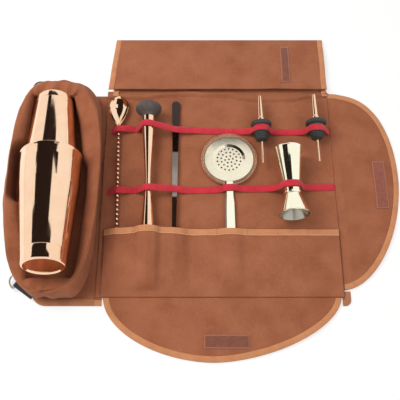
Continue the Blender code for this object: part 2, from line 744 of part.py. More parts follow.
def build_strap_tab(side, root, rest):
    """A strip of webbing that lies at height rest, folded round the straight bar of a D-ring."""
    half = TAB_THICKNESS / 2
    bar_z = rest + TAB_THICKNESS + TAB_EYE_RADIUS
    turn = TAB_EYE_RADIUS + half
    lower = [(0, rest + half), (TAB_LENGTH, rest + half)]
    arc = [
        (TAB_LENGTH + turn * math.sin(a), bar_z - turn * math.cos(a))
        for a in (math.pi * step / TAB_EYE_STEPS for step in range(1, TAB_EYE_STEPS + 1))
    ]
    upper_z = rest + TAB_THICKNESS + CLEARANCE + half
    upper = [(TAB_LENGTH - TAB_SHOULDER, upper_z), (0, upper_z)]
    middle = [*lower, *arc, *upper]
    outline = offset_path(middle, half) + offset_path(middle, -half)[::-1]
    turn_plan = Matrix.Translation((*root, 0)) @ Matrix.Rotation(TAB_HEADING, 4, "Z")
    edges = (-TAB_WIDTH / 2, TAB_WIDTH / 2)
    skin = loft([[turn_plan @ Vector((u, v, z)) for u, z in outline] for v in edges])
    add_object("strap_tab_" + side, skin, "webbing")

    half_width = RING_WIDTH / 2 - RING_WIRE_RADIUS
    bow = RING_DEPTH - 2 * RING_WIRE_RADIUS
    angles = [math.pi * (step / RING_ARC_STEPS - 0.5) for step in range(RING_ARC_STEPS + 1)]
    bend = [(TAB_LENGTH + bow * math.cos(a), half_width * math.sin(a), bar_z) for a in angles]
    bar = [(TAB_LENGTH, half_width * share, bar_z) for share in RING_BAR_SHARES]
    path = [turn_plan @ Vector(point) for point in (*bend, *bar)]
    ring_skin = tube(path, RING_WIRE_RADIUS, RING_SIDES, Vector((0, 0, 1)))
    ring = add_object("d_ring_" + side, ring_skin, "steel", smooth=True)
    pivot("d_ring_pivot_" + side, turn_plan @ Vector((TAB_LENGTH, 0, bar_z)), [ring])


def small_tin_profile():
    top = SMALL_TIN_TOP_RADIUS
    mouth = SMALL_TIN_MOUTH_RADIUS
    bead = SMALL_TIN_LENGTH - TIN_BEAD_LENGTH
    foot = top - TIN_FOOT_ROUND
    return [
        (TIN_RECESS, 0),
        (TIN_RECESS, foot - TIN_FOOT_WIDTH),
        (0, foot),
        (TIN_FOOT_ROUND / 4, top - TIN_FOOT_ROUND / 3),
        (TIN_FOOT_ROUND, top),
        (bead, mouth - TIN_BEAD),
        (bead + TIN_BEAD_LENGTH / 2, mouth),
        (SMALL_TIN_LENGTH, mouth),
        (SMALL_TIN_LENGTH, mouth - TIN_BEAD - TIN_WALL),
        (TIN_FOOT_ROUND + TIN_WALL, top - TIN_WALL),
        (TIN_RECESS + TIN_WALL, foot - TIN_FOOT_WIDTH),
        (TIN_RECESS + TIN_WALL, 0),
    ]


def large_tin_profile():
    start = LARGE_TIN_RIM_STATION
    end = start + LARGE_TIN_LENGTH
    rim = LARGE_TIN_RIM_RADIUS
    base = LARGE_TIN_BASE_RADIUS
    foot = base - TIN_FOOT_ROUND
    return [
        (end - TIN_RECESS, 0),
        (end - TIN_RECESS, foot - TIN_FOOT_WIDTH),
        (end, foot),
        (end - TIN_FOOT_ROUND / 4, base - TIN_FOOT_ROUND / 3),
        (end - TIN_FOOT_ROUND, base),
        (start + TIN_BEAD_LENGTH, rim - TIN_BEAD),
        (start + TIN_BEAD_LENGTH / 2, rim),
        (start, rim),
        (start, rim - TIN_BEAD - TIN_WALL),
        (end - TIN_FOOT_ROUND - TIN_WALL, base - TIN_WALL),
        (end - TIN_RECESS - TIN_WALL, foot - TIN_FOOT_WIDTH),
        (end - TIN_RECESS - TIN_WALL, 0),
    ]


def build_shaker():
    """Two tins, mouth to mouth. The large tin's rim rests on the bottom of the pouch."""
    rim_z = SHELL_THICKNESS + CLEARANCE + LARGE_TIN_RIM_RADIUS * math.cos(SHAKER_FALL)
    tip_z = rim_z + LARGE_TIN_RIM_STATION * math.sin(SHAKER_FALL)
    axis = ToolAxis((SHAKER_TIP_X, SHAKER_TIP_Y, tip_z), SHAKER_LEAN, SHAKER_FALL)
    small = turned(small_tin_profile(), axis.placing(), TIN_STEPS)
    large = turned(large_tin_profile(), axis.placing(), TIN_STEPS)
    small_item = add_object("shaker_small_tin", small, "copper", smooth=True)
    large_item = add_object("shaker_large_tin", large, "copper", smooth=True)
    rim = axis.at(LARGE_TIN_RIM_STATION)
    small_pivot = pivot("shaker_small_slide", axis.tip, [small_item])
    pivot("shaker_lift", rim, [large_item, small_pivot])


def bowl_outline(angle):
    """The bowl's rim: round at the tip of the spoon and drawn to a point at the shaft."""
    along = (1 - math.cos(angle)) / 2
    power = math.log(0.5) / math.log(BOWL_WIDEST_SHARE)
    swell = math.sin(math.pi * along ** power) ** BOWL_SWELL_POWER
    return along * BOWL_LENGTH, math.copysign(swell, math.sin(angle)) * BOWL_WIDTH / 2


def build_spoon():
    """A bar spoon in one piece: a pointed bowl on a long round shaft."""
    rim_z = TOOL_REST_Z + BOWL_DEPTH + BOWL_WALL
    centre = BOWL_LENGTH * BOWL_WIDEST_SHARE
    turn = Matrix.Translation((SPOON_TIP_X, SPOON_TIP_Y, 0)) @ Matrix.Rotation(SPOON_LEAN, 4, "Z")
    under = []
    inside = []
    for share in BOWL_RING_SHARES:
        sink = BOWL_DEPTH * (1 - share ** 2)
        outer_ring = []
        inner_ring = []
        for step in range(BOWL_STEPS):
            along, across = bowl_outline(FULL_TURN * (step + 0.5) / BOWL_STEPS)
            place = turn @ Vector((across * share, (centre - along) * share - centre, rim_z - sink))
            inner_ring.append(place)
            outer_ring.append(place - Vector((0, 0, BOWL_WALL)))
        under.append(outer_ring)
        inside.append(inner_ring)
    bowl_skin = loft(under + inside[::-1])
    bowl = add_object("bar_spoon", bowl_skin, "copper", smooth=True)

    tip_z = rim_z - BOWL_WALL / 2
    fall = math.asin((tip_z - TOOL_REST_Z - SPOON_SHAFT_RADIUS) / SPOON_LENGTH)
    axis = ToolAxis((SPOON_TIP_X, SPOON_TIP_Y, tip_z), SPOON_LEAN, fall)
    start = BOWL_LENGTH * SHAFT_ROOT_SHARE
    profile = [
        (start, 0),
        (start, SPOON_SHAFT_RADIUS / 2),
        (BOWL_LENGTH + SPOON_SHAFT_RADIUS, SPOON_SHAFT_RADIUS),
        (SPOON_LENGTH - SPOON_SHAFT_RADIUS, SPOON_SHAFT_RADIUS),
        (SPOON_LENGTH, SPOON_SHAFT_RADIUS / 2),
        (SPOON_LENGTH, 0),
    ]
    shaft = add_cutter("bar_spoon_shaft_guide", turned(profile, axis.placing(), SPOON_SIDES))
    combine(bowl, shaft, "UNION")
    pivot("bar_spoon_slide", axis.tip, [bowl])
    return axis, profile


def build_muddler():
    """A rubber-headed muddler whose handle narrows to a waist and swells to a heavy end."""
    fall = math.asin(
        (MUDDLER_HEAD_RADIUS - MUDDLER_END_RADIUS) / (MUDDLER_END_STATION - MUDDLER_HEAD_LENGTH / 2)
    )
    rest = TOOL_REST_Z + MUDDLER_HEAD_RADIUS + math.sin(fall) * MUDDLER_HEAD_LENGTH / 2
    axis = ToolAxis((MUDDLER_TIP_X, MUDDLER_TIP_Y, rest), MUDDLER_LEAN, fall)
    edge = MUDDLER_HEAD_ROUND
    head_profile = [
        (0, 0),
        (0, MUDDLER_HEAD_RADIUS - edge),
        (edge / 3, MUDDLER_HEAD_RADIUS - edge / 3),
        (edge, MUDDLER_HEAD_RADIUS),
        (MUDDLER_HEAD_LENGTH - edge, MUDDLER_HEAD_RADIUS - edge / 4),
        (MUDDLER_HEAD_LENGTH, MUDDLER_NECK_RADIUS + edge / 2),
        (MUDDLER_HEAD_LENGTH, 0),
    ]
    start = MUDDLER_HEAD_LENGTH + CLEARANCE
    half_way = (start + MUDDLER_WAIST_STATION) / 2
    flare_way = (MUDDLER_WAIST_STATION + MUDDLER_END_STATION) / 2
    handle_profile = [
        (start, 0),
        (start, MUDDLER_NECK_RADIUS),
        (start + MUDDLER_NECK_LENGTH, MUDDLER_NECK_RADIUS),
        (half_way, (MUDDLER_NECK_RADIUS + MUDDLER_WAIST_RADIUS) / 2 - MUDDLER_HOLLOWING),
        (MUDDLER_WAIST_STATION, MUDDLER_WAIST_RADIUS),
        (flare_way, (MUDDLER_END_RADIUS + MUDDLER_WAIST_RADIUS) / 2 - MUDDLER_HOLLOWING),
        (MUDDLER_END_STATION, MUDDLER_END_RADIUS),
        (MUDDLER_LENGTH - edge, MUDDLER_END_RADIUS - edge / 2),
        (MUDDLER_LENGTH, MUDDLER_END_RADIUS / 2),
        (MUDDLER_LENGTH, 0),
    ]
    head_skin = turned(head_profile, axis.placing(), MUDDLER_STEPS)
    head = add_object("muddler_head", head_skin, "rubber", smooth=True)
    handle_skin = turned(handle_profile, axis.placing(), MUDDLER_STEPS)
    handle = add_object("muddler_handle", handle_skin, "copper", smooth=True)
    pivot("muddler_slide", axis.tip, [head, handle])
    return axis, handle_profile


def tweezers_outline():
    """One arm seen flat, from its rounded head to its narrow point, as (station, half width)."""
    radius = TWEEZERS_HEAD_WIDTH / 2
    side = []
    for step in range(1, TWEEZERS_ROUND_STEPS + 1):
        angle = 90 * DEGREE * step / TWEEZERS_ROUND_STEPS
        side.append((radius * (1 - math.cos(angle)), radius * math.sin(angle)))
    side.append((TWEEZERS_HEAD_LENGTH, TWEEZERS_SHOULDER_WIDTH / 2))
    side.append((TWEEZERS_LENGTH, TWEEZERS_POINT_WIDTH / 2))
    return side


def build_tweezers():
    """Two flat arms that meet at the head, the upper one springing away towards the points."""
    side = tweezers_outline()
    outline = [(0, 0), *side, *[(station, -half) for station, half in reversed(side)]]
    low = TOOL_REST_Z
    lower = [(TWEEZERS_X + across, TWEEZERS_TIP_Y - station) for station, across in outline]
    lower_arm = add_object("tweezers_lower_arm", slab(lower, low, low + TWEEZERS_ARM_THICKNESS), "copper")

    base = low + TWEEZERS_ARM_THICKNESS + CLEARANCE
    rise = math.tan(TWEEZERS_SPREAD)
    rings = []
    for lift in (0, TWEEZERS_ARM_THICKNESS):
        ring = []
        for station, across in outline:
            ring.append((TWEEZERS_X + across, TWEEZERS_TIP_Y - station, base + station * rise + lift))
        rings.append(ring)
    upper_arm = add_object("tweezers_upper_arm", loft(rings), "copper")
    squeeze = pivot("tweezers_squeeze", (TWEEZERS_X, TWEEZERS_TIP_Y, base), [upper_arm])
    pivot("tweezers_slide", (TWEEZERS_X, TWEEZERS_TIP_Y, low), [lower_arm, squeeze])


def tweezers_top(y):
    """Half width and top height of the tweezers at a place along Y."""
    station = TWEEZERS_TIP_Y - y
    side = tweezers_outline()
    half = radius_at(side, station)
    top = TOOL_REST_Z + 2 * TWEEZERS_ARM_THICKNESS + CLEARANCE + station * math.tan(TWEEZERS_SPREAD)
    return half, top


def strainer_height():
    return TOOL_REST_Z + STRAINER_LIFT + SPRING_RADIUS + SPRING_WIRE_RADIUS


def build_strainer_plate(height):
    """A dished plate with a field of holes in rings of six, twelve and eighteen round one."""
    half = PLATE_THICKNESS / 2
    profile = [
        (-half - WELL_DEPTH, 0),
        (-half - WELL_DEPTH, WELL_FLOOR_RADIUS),
        (-half, WELL_TOP_RADIUS),
        (-half, PLATE_RADIUS - PLATE_LIP),
        (-half - PLATE_LIP / 2, PLATE_RADIUS),
        (half, PLATE_RADIUS),
        (half, WELL_TOP_RADIUS),
        (half - WELL_DEPTH, WELL_FLOOR_RADIUS - PLATE_THICKNESS / 2),
        (half - WELL_DEPTH, 0),
    ]
    place = Matrix.Translation((STRAINER_X, STRAINER_Y, height))
    plate = add_object("strainer_plate", turned(profile, place, PLATE_STEPS), "copper", smooth=True)

    drills = bmesh.new()
    for ring in range(HOLE_RINGS + 1):
        count = max(6 * ring, 1)
        for index in range(count):
            angle = FULL_TURN * index / count + ring * HOLE_STAGGER
            spot = Matrix.Translation((
                STRAINER_X + HOLE_PITCH * ring * math.cos(angle),
                STRAINER_Y + HOLE_PITCH * ring * math.sin(angle),
                height - WELL_DEPTH,
            ))
            bmesh.ops.create_cone(
                drills, cap_ends=True, segments=HOLE_SIDES, radius1=HOLE_RADIUS, radius2=HOLE_RADIUS,
                depth=2 * CUT_OVERRUN, matrix=spot,
            )
    combine(plate, add_cutter("strainer_hole_guide", drills), "DIFFERENCE")
    return plate


def spring_points(height):
    """The strainer's spring: curls round a ring that is open at the handle, with straight ends."""
    start = -90 * DEGREE + SPRING_END_GAP
    sweep = FULL_TURN - 2 * SPRING_END_GAP
    steps = SPRING_CURLS * SPRING_POINTS_PER_CURL
    points = []
    for step in range(steps + 1):
        share = step / steps
        along = start + sweep * share
        curl = FULL_TURN * SPRING_CURLS * share
        reach = SPRING_RING_RADIUS + SPRING_RADIUS * math.cos(curl)
        points.append(Vector((
            STRAINER_X + reach * math.cos(along),
            STRAINER_Y + reach * math.sin(along),
            height + SPRING_RADIUS * math.sin(curl),
        )))
    straight = 2 * SPRING_WIRE_RADIUS
    middle = Vector((STRAINER_X, STRAINER_Y, height))
    for end, along, sign in ((0, start, 1), (-1, start + sweep, -1)):
        tangent = Vector((math.sin(along), -math.cos(along), 0)) * sign
        place = points[end] + tangent * straight
        if end == 0:
            points.insert(0, place)
        else:
            points.append(place)
    return points, middle


def least_gap(points, skip):
    """The least clear distance between turns of the wire, on its points."""
    nearest = min(
        (points[a] - points[b]).length
        for a in range(len(points))
        for b in range(a + skip, min(a + 4 * skip, len(points)))
    )
    return nearest - 2 * SPRING_WIRE_RADIUS


def build_strainer():
    height = strainer_height()
    plate = build_strainer_plate(height)

    points, middle = spring_points(height)
    curve = bpy.data.curves.new("strainer_spring", "CURVE")
    curve.dimensions = "3D"
    curve.bevel_depth = SPRING_WIRE_RADIUS
    curve.bevel_resolution = 1
    curve.use_fill_caps = True
    spline = curve.splines.new("POLY")
    spline.points.add(len(points) - 1)
    for spot, point in zip(spline.points, points):
        spot.co = (*(point - middle), 1)
    spring = bpy.data.objects.new("strainer_spring", curve)
    spring.location = middle
    curve.materials.append(make_material("strainer_spring", "copper"))
    bpy.context.scene.collection.objects.link(spring)
    bpy.context.view_layer.update()
    gap = least_gap(points, SPRING_POINTS_PER_CURL - 2)
    print("least gap between spring turns, mm:", round(gap / MM, 3))

    neck_start = STRAINER_Y - PLATE_RADIUS - CLEARANCE
    neck_end = neck_start - NECK_LENGTH
    shoulder_end = neck_end - SHOULDER_LENGTH
    handle_end = shoulder_end - HANDLE_LENGTH
    thin = NECK_THICKNESS / 2
    thick = HANDLE_THICKNESS / 2
    stations = [
        (neck_start, NECK_WIDTH / 2, thin),
        (neck_end, NECK_WIDTH / 2, thin),
        (shoulder_end, HANDLE_TOP_WIDTH / 2, thick),
    ]
    corner = HANDLE_END_WIDTH / 2
    stations.append((handle_end + corner, HANDLE_END_WIDTH / 2, thick))
    for step in range(1, HANDLE_ROUND_STEPS):
        angle = 90 * DEGREE * step / HANDLE_ROUND_STEPS
        stations.append((handle_end + corner * (1 - math.sin(angle)), corner * math.cos(angle), thick))
    rings = []
    for y, half_width, half_height in stations:
        signs = ((-1, -1), (1, -1), (1, 1), (-1, 1))
        rings.append([(STRAINER_X + a * half_width, y, height + b * half_height) for a, b in signs])
    handle = add_object("strainer_handle", loft(rings), "copper")
    pivot("strainer_slide", middle, [plate, spring, handle])
    return height


def cork_profile(start):
    """The stopper: a wide flange, then a ribbed body that tapers to its end."""
    flange_end = start + CORK_FLANGE_LENGTH
    end = flange_end + CORK_BODY_LENGTH
    edge = CORK_RIB_HEIGHT
    profile = [
        (start, 0),
        (start, SPOUT_COLLAR_RADIUS + edge),
        (start + CORK_FLANGE_LENGTH / 3, CORK_FLANGE_RADIUS - edge / 2),
        (start + CORK_FLANGE_LENGTH / 2, CORK_FLANGE_RADIUS),
        (flange_end, CORK_FLANGE_RADIUS - edge),
        (flange_end, CORK_BODY_RADIUS),
    ]
    plain = flange_end + CORK_BODY_LENGTH / 2
    profile.append((plain, CORK_BODY_RADIUS))
    rib_pitch = (end - plain) / CORK_RIBS
    for rib in range(CORK_RIBS):
        share = rib / CORK_RIBS
        radius = CORK_BODY_RADIUS + (CORK_END_RADIUS - CORK_BODY_RADIUS) * share
        for along, height in zip(CORK_RIB_SHARES, (radius - edge, radius)):
            profile.append((plain + rib_pitch * (rib + along), height))
    profile.append((end, CORK_END_RADIUS - edge))
    profile.append((end, 0))
    return profile, end


def build_pourer(side, tip):
    """A pouring spout set in a rubber stopper, with a breather tube out of its lower end."""
    axis = ToolAxis((*tip, TOOL_REST_Z + CORK_FLANGE_RADIUS), POURER_LEAN, 0)
    place = axis.placing()
    collar = SPOUT_LENGTH - SPOUT_COLLAR_LENGTH
    spout_profile = [
        (0, SPOUT_TIP_RADIUS),
        (collar, SPOUT_BASE_RADIUS),
        (collar, SPOUT_COLLAR_RADIUS),
        (SPOUT_LENGTH, SPOUT_COLLAR_RADIUS),
        (SPOUT_LENGTH, SPOUT_BASE_RADIUS - SPOUT_WALL),
        (collar, SPOUT_BASE_RADIUS - SPOUT_WALL),
        (0, SPOUT_TIP_RADIUS - SPOUT_WALL),
    ]
    profile, cork_end = cork_profile(SPOUT_LENGTH + CLEARANCE)
    tube_start = cork_end + CLEARANCE
    breather_profile = [
        (tube_start, BREATHER_RADIUS),
        (tube_start + BREATHER_LENGTH, BREATHER_RADIUS),
        (tube_start + BREATHER_LENGTH, BREATHER_BORE_RADIUS),
        (tube_start, BREATHER_BORE_RADIUS),
    ]
    parts = (
        ("pourer_spout_", spout_profile, POURER_STEPS, "copper"),
        ("pourer_stopper_", profile, POURER_STEPS, "rubber"),
        ("pourer_breather_", breather_profile, POURER_STEPS // 2, "copper"),
    )
    pieces = [
        add_object(name + side, turned(outline, place, steps), finish, smooth=True)
        for name, outline, steps, finish in parts
    ]
    pivot("pourer_slide_" + side, axis.tip, pieces)
    return axis, profile


def cup_profile(rim_station, rim_radius, floor_station):
    """A tapered cup, open at its rim, whose floor is at the jigger's waist."""
    way = 1 if floor_station > rim_station else -1
    waist = JIGGER_WAIST_RADIUS
    inner_floor = floor_station - way * JIGGER_FLOOR
    return [
        (floor_station, 0),
        (floor_station, waist),
        (rim_station + way * 2 * JIGGER_LIP, rim_radius - JIGGER_LIP),
        (rim_station + way * JIGGER_LIP, rim_radius),
        (rim_station, rim_radius),
        (rim_station, rim_radius - JIGGER_LIP - JIGGER_WALL),
        (inner_floor, waist - JIGGER_WALL),
        (inner_floor, 0),
    ]


def build_jigger():
    """Two cups back to back, with a band round the waist where they meet."""
    length = LONG_CUP_LENGTH + SHORT_CUP_LENGTH
    fall = -math.asin((SHORT_CUP_RADIUS - LONG_CUP_RADIUS) / length)
    axis = ToolAxis((JIGGER_TIP_X, JIGGER_TIP_Y, TOOL_REST_Z + LONG_CUP_RADIUS), JIGGER_LEAN, fall)
    place = axis.placing()
    waist = LONG_CUP_LENGTH
    long_cup = cup_profile(0, LONG_CUP_RADIUS, waist - CLEARANCE / 2)
    short_cup = cup_profile(length, SHORT_CUP_RADIUS, waist + CLEARANCE / 2)
    add_object("jigger_long_cup", turned(long_cup, place, JIGGER_STEPS), "copper", smooth=True)
    add_object("jigger_short_cup", turned(short_cup, place, JIGGER_STEPS), "copper", smooth=True)
    half = WAIST_BAND_LENGTH / 2
    flare = max(radius_at(long_cup, waist - half), radius_at(short_cup, waist + half))
    inner = flare + CLEARANCE
    outer = inner + WAIST_BAND_THICKNESS
    band = [(waist - half, outer), (waist + half, outer), (waist + half, inner), (waist - half, inner)]
    add_object("jigger_waist_band", turned(band, place, JIGGER_STEPS), "copper", smooth=True)
    return axis, long_cup


def round_obstacle(axis, profile, y):
    """Points just outside a round tool's upper half where a band of elastic crosses it at y."""
    radius = radius_at(profile, axis.station_at(y))
    half = ELASTIC_WIDTH / 2 + 2 * abs(axis.run.x) * radius
    top_z = 0
    for edge in (y - half, y, y + half):
        station = axis.station_at(edge)
        radius = max(radius, radius_at(profile, station))
        top_z = max(top_z, axis.at(station).z)
    centre_x = axis.at(axis.station_at(y)).x
    step_angle = math.pi / ELASTIC_ARC_STEPS
    reach = (radius + 2 * CLEARANCE) / math.cos(step_angle / 2)
    angles = [step_angle * (step + 0.5) for step in range(ELASTIC_ARC_STEPS)]
    return [(centre_x - reach * math.cos(a), top_z + reach * math.sin(a)) for a in angles]


def flat_obstacle(x, half_width, top):
    """Points just outside a flat tool's two upper edges."""
    reach = half_width + CLEARANCE
    return [(x - reach, top + CLEARANCE), (x + reach, top + CLEARANCE)]


def taut_over(points):
    """The upper hull of points that run from left to right: a band stretched over them."""
    hull = []
    for point in sorted(points):
        while len(hull) > 1:
            (ax, az), (bx, bz) = hull[-2], hull[-1]
            if (bx - ax) * (point[1] - az) - (bz - az) * (point[0] - ax) < 0:
                break
            hull.pop()
        hull.append(point)
    return hull


def build_elastic(name, left_y, right_y, crossings):
    """A flat band sewn down between the tools and stretched over each of them, in three lengths
    that meet at the bar tacks beside the tweezers.

    Each crossing is a tool's place along X, how far the band dips there towards the pocket, and
    a function that gives the points the band clears where it crosses the tool at y."""
    flat = LINING_TOP_Z + CLEARANCE
    slope = (right_y - left_y) / (ELASTIC_RIGHT_X - ELASTIC_LEFT_X)
    half = ELASTIC_WIDTH / 2
    starts = [ELASTIC_LEFT_X, *(x + CLEARANCE / 2 for x in ELASTIC_JOINTS_X)]
    ends = [*(x - CLEARANCE / 2 for x in ELASTIC_JOINTS_X), ELASTIC_RIGHT_X]
    for side, start, end in zip(("left", "middle", "right"), starts, ends):
        path = [(start, flat, 0)]
        for tool_x, dip, clear_points in crossings:
            if not start < tool_x < end:
                continue
            obstacle = clear_points(left_y + slope * (tool_x - ELASTIC_LEFT_X) - dip)
            top = max(z for x, z in obstacle)
            reach = ELASTIC_REACH_SHARE * (top - flat)
            left_anchor = (min(x for x, z in obstacle) - reach, flat)
            right_anchor = (max(x for x, z in obstacle) + reach, flat)
            for x, z in taut_over([left_anchor, *obstacle, right_anchor]):
                path.append((x, z, dip * (z - flat) / (top - flat)))
        path.append((end, flat, 0))

        over = offset_path([(x, z) for x, z, dip in path], ELASTIC_THICKNESS)
        rings = []
        for (x, z, dip), (over_x, over_z) in zip(path, over):
            y = left_y + slope * (x - ELASTIC_LEFT_X) - dip
            near = y - half
            far = y + half
            rings.append([(x, near, z), (x, far, z), (over_x, far, over_z), (over_x, near, over_z)])
        add_object(name + "_" + side, loft(rings), "elastic")


def build_elastics(spoon, muddler, pourers, jigger, strainer_z):
    """The upper band holds the tools by their heads, the lower one by their handles and waists."""
    def over_round(tool, dip):
        return (tool[0].at(tool[0].station_at(0)).x, dip, lambda y: round_obstacle(*tool, y))

    def over_tweezers(y):
        half_width, top = tweezers_top(y - ELASTIC_WIDTH / 2)
        return flat_obstacle(TWEEZERS_X, half_width + TWEEZERS_ROOM, top + TWEEZERS_ROOM)

    def over_handle(y):
        return flat_obstacle(STRAINER_X, HANDLE_END_WIDTH / 2, strainer_z + HANDLE_THICKNESS / 2)

    held_by_both = [over_round(spoon, 0), over_round(muddler, 0), (TWEEZERS_X, 0, over_tweezers)]
    upper = [*held_by_both, *[over_round(pourer, POURER_DIP) for pourer in pourers]]
    lower = [*held_by_both, (STRAINER_X, STRAINER_DIP, over_handle), over_round(jigger, JIGGER_DIP)]
    build_elastic("upper_elastic", UPPER_ELASTIC_LEFT_Y, UPPER_ELASTIC_RIGHT_Y, upper)
    build_elastic("lower_elastic", LOWER_ELASTIC_LEFT_Y, LOWER_ELASTIC_RIGHT_Y, lower)


def build_bag():
    clear_scene()
    build_shaker_side()
    build_pouch()
    on_cloth = SHELL_THICKNESS + CLEARANCE
    build_strap_tab("front", FRONT_TAB_ROOT, on_cloth + BINDING_THICKNESS + CLEARANCE)
    build_strap_tab("rear", REAR_TAB_ROOT, on_cloth)
    build_tool_side()
    build_pocket()
    build_cover_flap()
    build_side_flap()
    build_front_flap()
    build_shaker()
    spoon = build_spoon()
    muddler = build_muddler()
    build_tweezers()
    strainer_z = build_strainer()
    pourers = [build_pourer(side, tip) for side, tip in zip(("left", "right"), POURER_TIPS)]
    jigger = build_jigger()
    build_elastics(spoon, muddler, pourers, jigger, strainer_z)
    panel_crease = (CREASE_X, 0, HINGE_Z)
    shaker_side_names = ("shaker_side_", "pouch_", "strap_tab_", "d_ring_pivot_", "shaker_lift")
    carried = [
        item for item in bpy.context.scene.collection.objects
        if item.parent is None and not item.name.startswith(shaker_side_names) and not item.hide_render
    ]
    pivot("panel_fold", panel_crease, carried)


build_bag()
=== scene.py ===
"""Looks of the canvas bartender bag, laid open with its tools in place.

Metres, +Z up, in the same frame as the solids. Cloth pieces are built as sheets with their own
folds, metal tools as fine turned surfaces, and every material is procedural.
"""

import math

import bmesh
import bpy
from mathutils import Matrix, Vector, noise


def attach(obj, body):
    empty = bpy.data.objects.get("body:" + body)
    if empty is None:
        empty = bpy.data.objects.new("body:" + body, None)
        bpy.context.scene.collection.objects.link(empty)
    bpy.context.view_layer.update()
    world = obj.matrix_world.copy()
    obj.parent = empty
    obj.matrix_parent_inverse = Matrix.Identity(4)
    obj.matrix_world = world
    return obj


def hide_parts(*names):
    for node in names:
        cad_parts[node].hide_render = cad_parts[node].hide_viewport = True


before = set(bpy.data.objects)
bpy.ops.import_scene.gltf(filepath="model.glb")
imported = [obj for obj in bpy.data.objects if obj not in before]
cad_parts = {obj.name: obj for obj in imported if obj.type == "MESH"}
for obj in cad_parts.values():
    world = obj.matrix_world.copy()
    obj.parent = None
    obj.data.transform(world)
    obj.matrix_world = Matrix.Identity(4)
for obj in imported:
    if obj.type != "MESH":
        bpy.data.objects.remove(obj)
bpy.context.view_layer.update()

MM = 0.001
PI = math.pi

# Sizes shared with the solids
PANEL_RIGHT_X = 0.208
PANEL_TOP_Y = 0.19085
PANEL_FRONT_Y = -0.152
SHELL_FRONT_Y = -0.1631
CORNER_FRONT_Y = -0.164
LINING_Z = 0.0031
REST_Z = 0.0034
COVER_LEFT_X = -0.142
COVER_FREE_LEFT_X = -0.150
COVER_RIGHT_X = 0.208
COVER_FOLD_Y = 0.293
COVER_FREE_Y = 0.1925
STRAINER_X = 0.0453
STRAINER_CENTRE = Vector((STRAINER_X, 0.066, 0.008))
TWEEZERS_X = -0.0388
ELASTIC_LEFT_X = -0.142
ELASTIC_RIGHT_X = 0.2075
# Each band's y at its left and right ends
UPPER_BAND = (0.116, 0.115)
LOWER_BAND = (0.011, 0.020)

# Each turned tool's tip, and the way its axis runs from there
SHAKER = Vector((-0.2282, 0.1552, 0.034712)), Vector((0.058877, -0.99101, 0.120137))
SPOON = Vector((-0.131, 0.177, 0.01145)), Vector((0.027917, -0.999446, -0.018103))
MUDDLER = Vector((-0.0816, 0.1565, 0.024753)), Vector((0.017429, -0.998512, -0.05168))
JIGGER = Vector((0.1358, 0.0745, 0.0254)), Vector((0.029661, -0.999392, 0.018349))
POURER_RUN = Vector((0.010472, -0.999945, 0))
POURERS = {
    "left": (Vector((0.0958, 0.1716, 0.0199)), POURER_RUN),
    "right": (Vector((0.1825, 0.1744, 0.0199)), POURER_RUN),
}


def lerp(a, b, share):
    return a + (b - a) * share


def clamp(value):
    return min(max(value, 0), 1)


def smooth(low, high, value):
    share = clamp((value - low) / (high - low))
    return share * share * (3 - 2 * share)


def bell(gap, width):
    return math.exp(-(gap / width) ** 2)


def signed_power(value, power):
    return math.copysign(abs(value) ** power, value)


def rough(x, y, scale, seed=0.0):
    """Smooth noise between about -1 and 1, with one bump per 1 / scale metres."""
    return noise.noise(Vector((x * scale, y * scale, seed)))


def along_line(rows, x, ease=1.0):
    """The values at x of lines through rows of (x, value, ...). They flatten at the rows by ease, 0 to 1."""
    for (x0, *start), (x1, *end) in zip(rows, rows[1:]):
        if x <= x1:
            share = (x - x0) / (x1 - x0)
            share = lerp(share, smooth(0, 1, share), ease)
            return [lerp(a, b, share) for a, b in zip(start, end)]
    return list(rows[-1][1:])


def running_lengths(points):
    """How far along a path each of its points lies."""
    lengths = [0.0]
    for a, b in zip(points, points[1:]):
        lengths.append(lengths[-1] + math.dist(a, b))
    return lengths


def even_places(lengths, count):
    """Evenly spaced places on a path, each as the index of the point before it and the share to the next."""
    index = 0
    for step in range(count + 1):
        goal = lengths[-1] * step / count
        while index < len(lengths) - 2 and lengths[index + 1] < goal:
            index += 1
        yield index, (goal - lengths[index]) / (lengths[index + 1] - lengths[index] or 1)


def nearest_on_line(x, y, start, end):
    """How far the nearest point of a straight line is, and that point."""
    dx, dy = end[0] - start[0], end[1] - start[1]
    share = clamp(((x - start[0]) * dx + (y - start[1]) * dy) / (dx * dx + dy * dy))
    px, py = start[0] + dx * share, start[1] + dy * share
    return math.hypot(x - px, y - py), px, py


def mm(points):
    return [(a * MM, b * MM) for a, b in points]


# Materials


